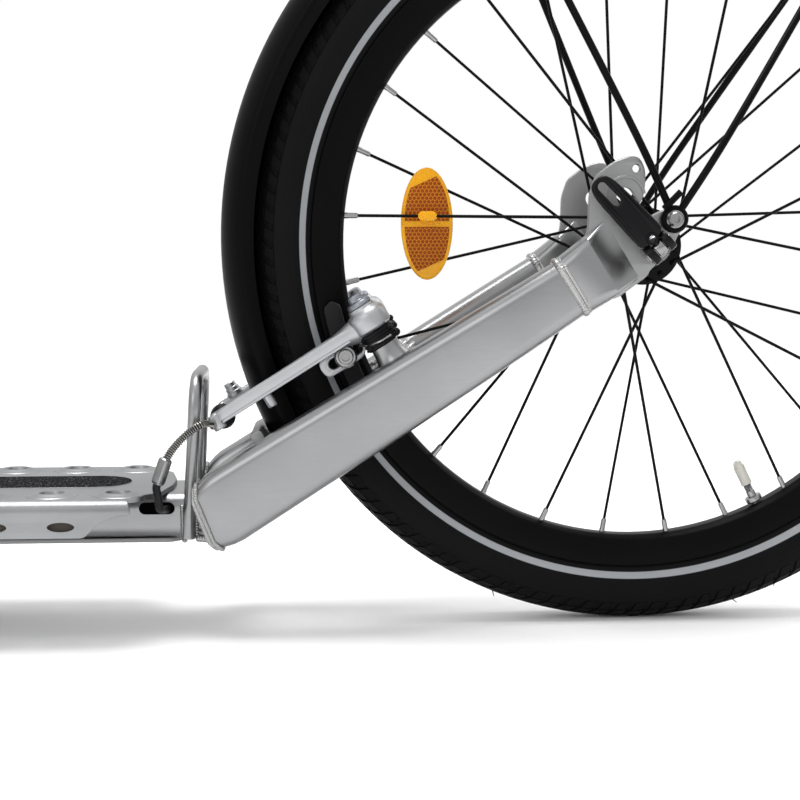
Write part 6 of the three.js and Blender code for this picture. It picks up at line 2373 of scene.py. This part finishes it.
@dataclass
class Cockpit:
    """Head cups, stem, handlebar, grips, lever mounts and brake levers."""

    stem_low: float = 575.3
    bar_r: float = 11.1
    bar_z: float = 722.3
    bend: tuple[float, float] = (-46, 118)
    tip: tuple[float, float] = (-18, 300)
    lever_y: float = 160

    def build(self) -> None:
        """Makes all pieces."""
        self.make_cups()
        self.make_stem()
        self.make_bar()
        for side in Side:
            at = self.lever_frame(side.value)
            self.make_grip(side, at)
            self.make_mount(side, at)
            self.make_lever(side, at)

    def make_cups(self) -> None:
        """Both head cups with a groove."""
        for name, low in (("lower", 401.0), ("upper", 566.0)):
            line = [(15.1, low), (22, low), (23.2, low + 1.4), (24, low + 3.2), (23.7, low + 4.2), (24, low + 4.8),
                    (24, low + 6.3), (23.2, low + 8), (22, low + 9), (15.1, low + 9)]
            shell = Shell.turned(line, 56, ring=True).moved(UPRIGHT).moved(STEER)
            shell.piece(f"{name}_cup_turned", ANODISED, "frame", (f"{name}_cup",))

    def make_stem(self) -> None:
        """Stem with its clamp, face plate, bolts and top cap."""
        low, high = self.stem_low, self.stem_low + 44
        bx, bz = -56.0, self.stem_low + 85
        line = [(14.6, low), (18, low), (18.5, low + 0.6), (18.5, high - 0.6), (18, high), (14.6, high)]
        body = Shell.turned(line, 56, ring=True).moved(UPRIGHT)
        start, end = Vector((0, 0, mix(low, high, 0.5))), Vector((bx, 0, bz))
        neck_path = [start.lerp(end, s) for s in spread(9, 0.12, 0.92)]
        neck = Shell.tube(neck_path, [14.0 + 1.6 * (2 * s - 1) ** 4 for s in spread(9)], 36)
        ring_line = [(11.4, -25), (18, -25), (18.5, -24.4), (18.5, 24.4), (18, 25), (11.4, 25)]
        ring = Shell.turned(ring_line, 56, ring=True).moved(Matrix.Translation((bx, 0, bz)))
        spots = [(y, bz + dz) for y in (-17, 17) for dz in (-15.5, 15.5)]
        bosses = [Shell.bolt((bx - 16, y, z), (bx + 4, y, z), 4.6, 0.8) for y, z in spots]
        body.join(neck, ring, *bosses).moved(STEER).piece("stem_body", ANODISED, "steering", ("stem",))
        top = high + 3
        cap = [(0, high), (17.2, high), (17.4, high + 0.6), (16.6, high + 2.6), (15, top), (5, top), (0, top)]
        cap = Shell.turned(cap, 56).moved(UPRIGHT)
        bolt = Shell.turned([(0, top), (4.6, top), (4.4, high + 3.02), (0, high + 3.02)], 24).moved(UPRIGHT)
        cap.moved(STEER).piece("stem_top_cap", ANODISED, "steering")
        bolt.moved(STEER).piece("stem_cap_bolt", STEEL, "steering")
        heads = Shell().join(*(Shell.bolt((bx - 17.4, y, z), (bx - 15, y, z), 3.4, 0.5) for y, z in spots))
        heads.moved(STEER).piece("stem_face_bolts", STEEL, "steering")

    def make_bar(self) -> None:
        """Riser bar with two bends on each side."""
        half = [(*self.tip, self.bar_z), (*self.bend, self.bar_z), (-56, 48, 660.3)]
        path = bent([(x, -y, z) for x, y, z in half] + half[::-1], 24, 12)
        tube = Shell.tube(path, self.bar_r, 36).moved(STEER)
        tube.piece("handlebar_tube", ANODISED, "steering", ("handlebar",), sharp=60)

    def lever_frame(self, side: int) -> Matrix:
        """Frame of one lever: X outwards along the bar, Y forwards, Z along the lever's pivot.

        Args:
            side: side of the bike, as a sign.

        Returns:
            The frame.
        """
        start, end = (Vector((x, side * y, self.bar_z)) for x, y in (self.bend, self.tip))
        out = (end - start).normalized()
        turn = Vector((-math.sin(30 * DEG), 0, math.cos(30 * DEG)))
        pin = (turn - out * turn.dot(out)).normalized() * side
        ahead = pin.cross(out).normalized()
        at = start + out * ((self.lever_y - self.bend[1]) / abs(out.y))
        basis = Matrix((out, ahead, pin)).transposed().to_4x4()
        return STEER @ Matrix.Translation(at) @ basis

    def make_grip(self, side: Side, at: Matrix) -> None:
        """Rubber grip with rings and a flange.

        Args:
            side: side of the bike.
            at: the lever's frame.
        """
        run = self.tip[1] - self.bend[1]
        end = (self.tip[1] - self.lever_y) * math.hypot(self.tip[0] - self.bend[0], run) / run + 0.3
        line = [(11.4, 22), (17.8, 22), (18.2, 22.6), (18.2, 24.6), (17.8, 25.2), (16.2, 26)]
        x = 27.0
        while x < end - 4:
            line += [(14.7, x), (15.5, x + 0.7), (15.5, x + 2.9), (14.7, x + 3.6)]
            x += 4.4
        line += [(15.5, end - 1), (15.4, end + 2), (14.6, end + 3), (0, end + 3), (0, end), (11.4, end)]
        shell = Shell.turned(line, 48, ring=True).moved(at @ OUTWARDS)
        shell.piece(f"{side.hand}_grip_rubber", GRIP, "steering", (f"{side.hand}_grip",))

    def make_mount(self, side: Side, at: Matrix) -> None:
        """Lever mount with its band, clamp bolt and cable adjuster.

        Args:
            side: side of the bike.
            at: the lever's frame.
        """
        shares = ((-0.31, 0), (0.31, 0), (0.375, 0.56), (0.44, 0.81), (0.44, 1.19), (0.06, 1.25), (-0.375, 1.06),
                  (-0.94, 0.91), (-0.94, 0.62), (-0.44, 0.53))
        body = Shell.plate(soften([(a * 32, b * 32) for a, b in shares], 6, 5), -6.5, 6.5, edge=2.0)
        shares = ((-0.75, 0.83), (-0.75, 1.4), (0.62, 1.4), (0.62, 0.75), (0.06, 0.75))
        room = Shell.plate([(a * 32, b * 32) for a, b in shares], -3.4, 3.4, edge=0.01)
        body = body.minus(room, Shell.bolt((-30, 0, 0), (30, 0, 0), 11.4, 0.01, 48))
        ring = [(11.4, -10), (14.9, -10), (15.5, -9.4), (15.5, 9.4), (14.9, 10), (11.4, 10)]
        band = Shell.turned(ring, 48, ring=True).moved(OUTWARDS)
        adjuster = [(0, 28), (3.8, 28), (4, 29)] + [(4.6 - 0.4 * (i % 2), 29.5 + i * 0.8) for i in range(13)]
        adjuster += [(3.6, 40.6), (0, 41)]
        screw = Shell.knob(adjuster, 32, Vector((0, 24.5, 0)), Vector((-1, 0, 0)))
        pivot = Shell.bolt((6, 32, -7.4), (6, 32, 7.4), 3.6, 0.6)
        clamp = Shell.bolt((0, -17.2, -7), (0, -17.2, 7), 3.4, 0.8)
        lug = Shell.plate(soften([(-7, -19.5), (7, -19.5), (8, -9), (-8, -9)], 2), -5.5, 5.5, edge=1.0)
        name = f"{side.hand}_lever_mount"
        body.join(band, screw, lug).moved(at).piece(f"{name}_body", ANODISED, "steering", (name,))
        pivot.join(clamp).moved(at).piece(f"{name}_bolts", STEEL, "steering")

    def make_lever(self, side: Side, at: Matrix) -> None:
        """Two-finger brake lever with a rounded blade.

        Args:
            side: side of the bike.
            at: the lever's frame.
        """
        shares = ((-0.06, 0.1), (-0.04, -0.05), (0.06, -0.11), (0.19, 0), (0.35, 0.18), (0.67, 0.28),
                  (0.94, 0.26), (1.02, 0.34), (0.98, 0.44), (0.67, 0.48), (0.37, 0.38), (0.17, 0.24), (0.06, 0.14))
        line = soften([(a * 104, 32 + b * 52) for a, b in shares], 12, 6)
        name = f"{side.hand}_brake_lever"
        blade = Shell.plate(line, -3, 3, edge=1.9).moved(at)
        blade.piece(f"{name}_blade", ANODISED, f"{side.hand}_lever", (name,))


# ---- cables


@dataclass
class Cables:
    """Cable housings of both brakes, each made as a tube along its route."""

    bike: MainFrame
    cockpit: Cockpit
    r: float = 2.5

    def build(self) -> None:
        """Makes all cords."""
        self.make_tail()
        self.make_run()
        self.make_loop(self.cockpit.lever_frame(Side.RIGHT.value))
        self.make_front(self.cockpit.lever_frame(Side.LEFT.value))

    def make_cord(self, node: str, points: list, body: "str | Bend") -> None:
        """One housing along the CAD's route.

        Args:
            node: CAD node that it stands for.
            points: route in the bike's frame.
            body: body that it rides on, or the bend between two.
        """
        path = flowing(points, 90)
        obj = Shell.tube(path, self.r, 16).piece(f"{node}_housing", HOUSING, body, (node,), sharp=70)
        metres(path[0])
        length_of(path) / 1000
        [metres(p) for p in path]

    def make_tail(self) -> None:
        """From the rear guide's ferrule into the slot in the beam."""
        bx, bz = self.bike.rear_x, self.bike.mid_z
        tip = BRAKE_FRAME @ guide_point(REAR_GUIDE[-1])
        high, low = (tip.x - 0.5, tip.y, tip.z - 1.4), (bx - 41.4, -55, bz + 9)
        self.make_cord("rear_cable_tail", [
            (tip.x + 2.6, tip.y + 0.2, tip.z + 3.6), high, (bx - 41.8, tip.y + 0.4, bz + 15.4), low,
            (bx - 40, -42, bz + 5.4), (bx - 37, -29, bz + 4.6), (bx - 35, -24.4, bz + 4.3)],
            Bend("frame", "rear_arm_left", low, high))

    def make_run(self) -> None:
        """Inside the beam and the down tube, as far as the opening near the head tube."""
        bike, out = self.bike, self.bike.cable_exit
        bx, bz = bike.rear_x, bike.mid_z
        stations = [(bike.bend_x, 8, bz)]
        for i, share in enumerate((0.2, 0.4, 0.6, 0.8, 1.0)):
            p = bike.on_bend(share)
            stations.append((p.x, 7 - i, p.z))
        rising = [Vector((out.x, y, out.z)) - Vector((bike.way.x, 0, bike.way.z)) * run
                  for run, y in ((200, 3), (45, 4), (12, 5.5), (1, 13))]
        self.make_cord("rear_cable_run", [
            (bx - 34, -22, bz + 3.9), (bx - 26, -10, bz + 1.4), (bx - 24, 4, bz), (bx - 34, 14, bz),
            (bx - 58, 14, bz), (bx - 218, 10, bz), *stations, *rising, (out.x, 22.3, out.z)], "frame")

    def make_loop(self, lever: Matrix) -> None:
        """From the down tube to the right lever, with slack for the steering.

        Args:
            lever: frame of the right lever.
        """
        out = self.bike.cable_exit
        leaving, reaching = (out.x - 8, 40, out.z + 16), on_steer(-92, 78, 650)
        ends = [lever @ Vector(p) for p in ((-88, 36, 0), (-62, 26, 0), (-41.3, 24.5, 0))]
        self.make_cord("rear_cable_loop", [
            (out.x - 0.2, 23.8, out.z + 0.3), leaving, on_steer(20, 54, 540), on_steer(-50, 68, 590), reaching, *ends],
            Bend("frame", "steering", leaving, reaching))

    def make_front(self, lever: Matrix) -> None:
        """From the left lever to the front guide tube.

        Args:
            lever: frame of the left lever.
        """
        tip = STEER.inverted() @ FRONT_FRAME @ guide_point(FRONT_GUIDE[-1])
        ends = [lever @ Vector(p) for p in ((-41.3, 24.5, 0), (-60, 25, 0), (-90, 32, 0))]
        drop = [on_steer(tip.x + x, tip.y + y, tip.z + z) for x, y, z in (
            (-82, -102, 238), (-74, -38, 158), (-36, -4, 78), (-6, 1.8, 32), (-0.1, 0, 0.3))]
        self.make_cord("front_cable", ends + drop, Bend("steering", "front_arm_right", drop[2], drop[-1]))


# ---- studio


@dataclass
class Studio:
    """Camera, floor, lamps and world."""

    place: tuple[float, float, float] = (0.5111, -1.2037, 0.2618)
    azimuth: float = -3.96
    elevation: float = 11.66
    lens: float = 83.52
    sensor: float = 36.0
    shift: tuple[float, float] = (-0.0846, 0.248)
    farthest: float = 50.0
    floor_half: float = 12.0
    aim: tuple[float, float, float] = (0.35, 0, 0.2)
    lamps: tuple = (("top", (0.2, 0.1, 3.0), 1.7, 66.0), ("front", (-1.6, -3.0, 1.9), 2.2, 18.0),
                    ("rear", (2.4, 1.8, 2.2), 1.8, 14.0))

    def build(self) -> None:
        """Sets up the studio."""
        self.make_camera()
        self.make_floor()
        self.make_lamps()
        self.make_world()
        bpy.context.scene.view_settings.view_transform = "Standard"

    def make_camera(self) -> None:
        """Camera at the photograph's viewing angle."""
        data = bpy.data.cameras.new("camera")
        data.lens = self.lens
        data.sensor_width = self.sensor
        data.shift_x, data.shift_y = self.shift
        data.clip_end = self.farthest
        camera = bpy.data.objects.new("camera", data)
        a, e = self.azimuth * DEG, self.elevation * DEG
        back = Vector((math.sin(a) * math.cos(e), -math.cos(a) * math.cos(e), math.sin(e)))
        camera.location = self.place
        camera.rotation_euler = (-back).to_track_quat("-Z", "Y").to_euler()
        bpy.context.scene.collection.objects.link(camera)
        bpy.context.scene.camera = camera

    def make_floor(self) -> None:
        """Pale floor that fades into the white background far away."""
        half = self.floor_half
        mesh = bpy.data.meshes.new("floor")
        mesh.from_pydata([(-half, -half, 0), (half, -half, 0), (half, half, 0), (-half, half, 0)], [], [(0, 1, 2, 3)])
        floor = bpy.data.objects.new("floor", mesh)
        bpy.context.scene.collection.objects.link(floor)
        paint = Painter("floor_pale")
        paint.feed("Base Color", (0.95, 0.95, 0.95))
        paint.feed("Roughness", 0.8)
        paint.feed("Specular IOR Level", 0.1)
        x, y, _ = paint.axes()
        far = ((x * x + y * y) ** 0.5).step(1.4, 4.5)
        glow = paint.node("ShaderNodeEmission", {}, (1, 1, 1, 1), 1.0)
        both = paint.node("ShaderNodeMixShader", {}, far * paint.seen(), Sock(paint, paint.shader.outputs[0]), glow)
        paint.tree.links.new(both.socket, paint.out.inputs[0])
        mesh.materials.append(paint.material)

    def make_lamps(self) -> None:
        """Large soft lamps above and beside."""
        for name, place, size, power in self.lamps:
            data = bpy.data.lights.new(name, "AREA")
            data.shape = "DISK"
            data.size = size
            data.energy = power
            lamp = bpy.data.objects.new(name, data)
            lamp.location = place
            way = Vector(self.aim) - Vector(place)
            lamp.rotation_euler = way.to_track_quat("-Z", "Y").to_euler()
            bpy.context.scene.collection.objects.link(lamp)

    def make_world(self) -> None:
        """White to the camera; soft gradients, lighter above, in what metal reflects and in the light."""
        world = bpy.data.worlds.new("studio")
        world.use_nodes = True
        bpy.context.scene.world = world
        graph = Graph(world.node_tree)
        world.node_tree.nodes.clear()
        out = world.node_tree.nodes.new("ShaderNodeOutputWorld")
        way = graph.node("ShaderNodeTexCoord", {}, out="Generated")
        split = graph.node("ShaderNodeSeparateXYZ", {}, way)
        up = Sock(graph, split.socket.node.outputs[2])
        level = up.step(-0.15, 0.8) * 0.38 + 0.62
        sheen = graph.ray("Glossy") * (up.step(-0.1, 0.7) * 0.32 + 0.68)
        clear = graph.ray("Camera").high(graph.ray("Transmission"))
        strength = clear.high(sheen) + (1.0 - graph.seen()) * level
        glow = graph.node("ShaderNodeBackground", {}, (1, 1, 1, 1), strength)
        world.node_tree.links.new(glow.socket, out.inputs[0])


def main() -> None:
    """Builds the studio and every sub-assembly in order."""
    logging.basicConfig(level=logging.INFO, format="%(name)s %(message)s")
    Studio().build()
    bike, cockpit = MainFrame(), Cockpit()
    Cables(bike, cockpit).build()
    for wheel in (REAR_WHEEL, FRONT_WHEEL):
        wheel.build()
    QuickRelease(REAR_WHEEL, turn=42, body="rear_release").build()
    QuickRelease(FRONT_WHEEL, turn=60, body="front_release").build()
    for side in Side:
        RearStay(side).build()
    bike.build()
    Footboard().build()
    GuardBow().build()
    StayBridge().build()
    Mudguard(REAR_WHEEL, span=(38, 207.6), seat=(11.2, 16.6), angles=(112, 57)).build()
    c, s = math.cos(HEAD_ANGLE), math.sin(HEAD_ANGLE)
    Mudguard(FRONT_WHEEL, span=(-12, 118), seat=(22 * c - 2 * s, -2 * c - 22 * s), angles=(-4, 32)).build()
    REAR_BRAKE.build()
    FRONT_BRAKE.build()
    Fork().build()
    cockpit.build()


if __name__ == "__main__":
    main()
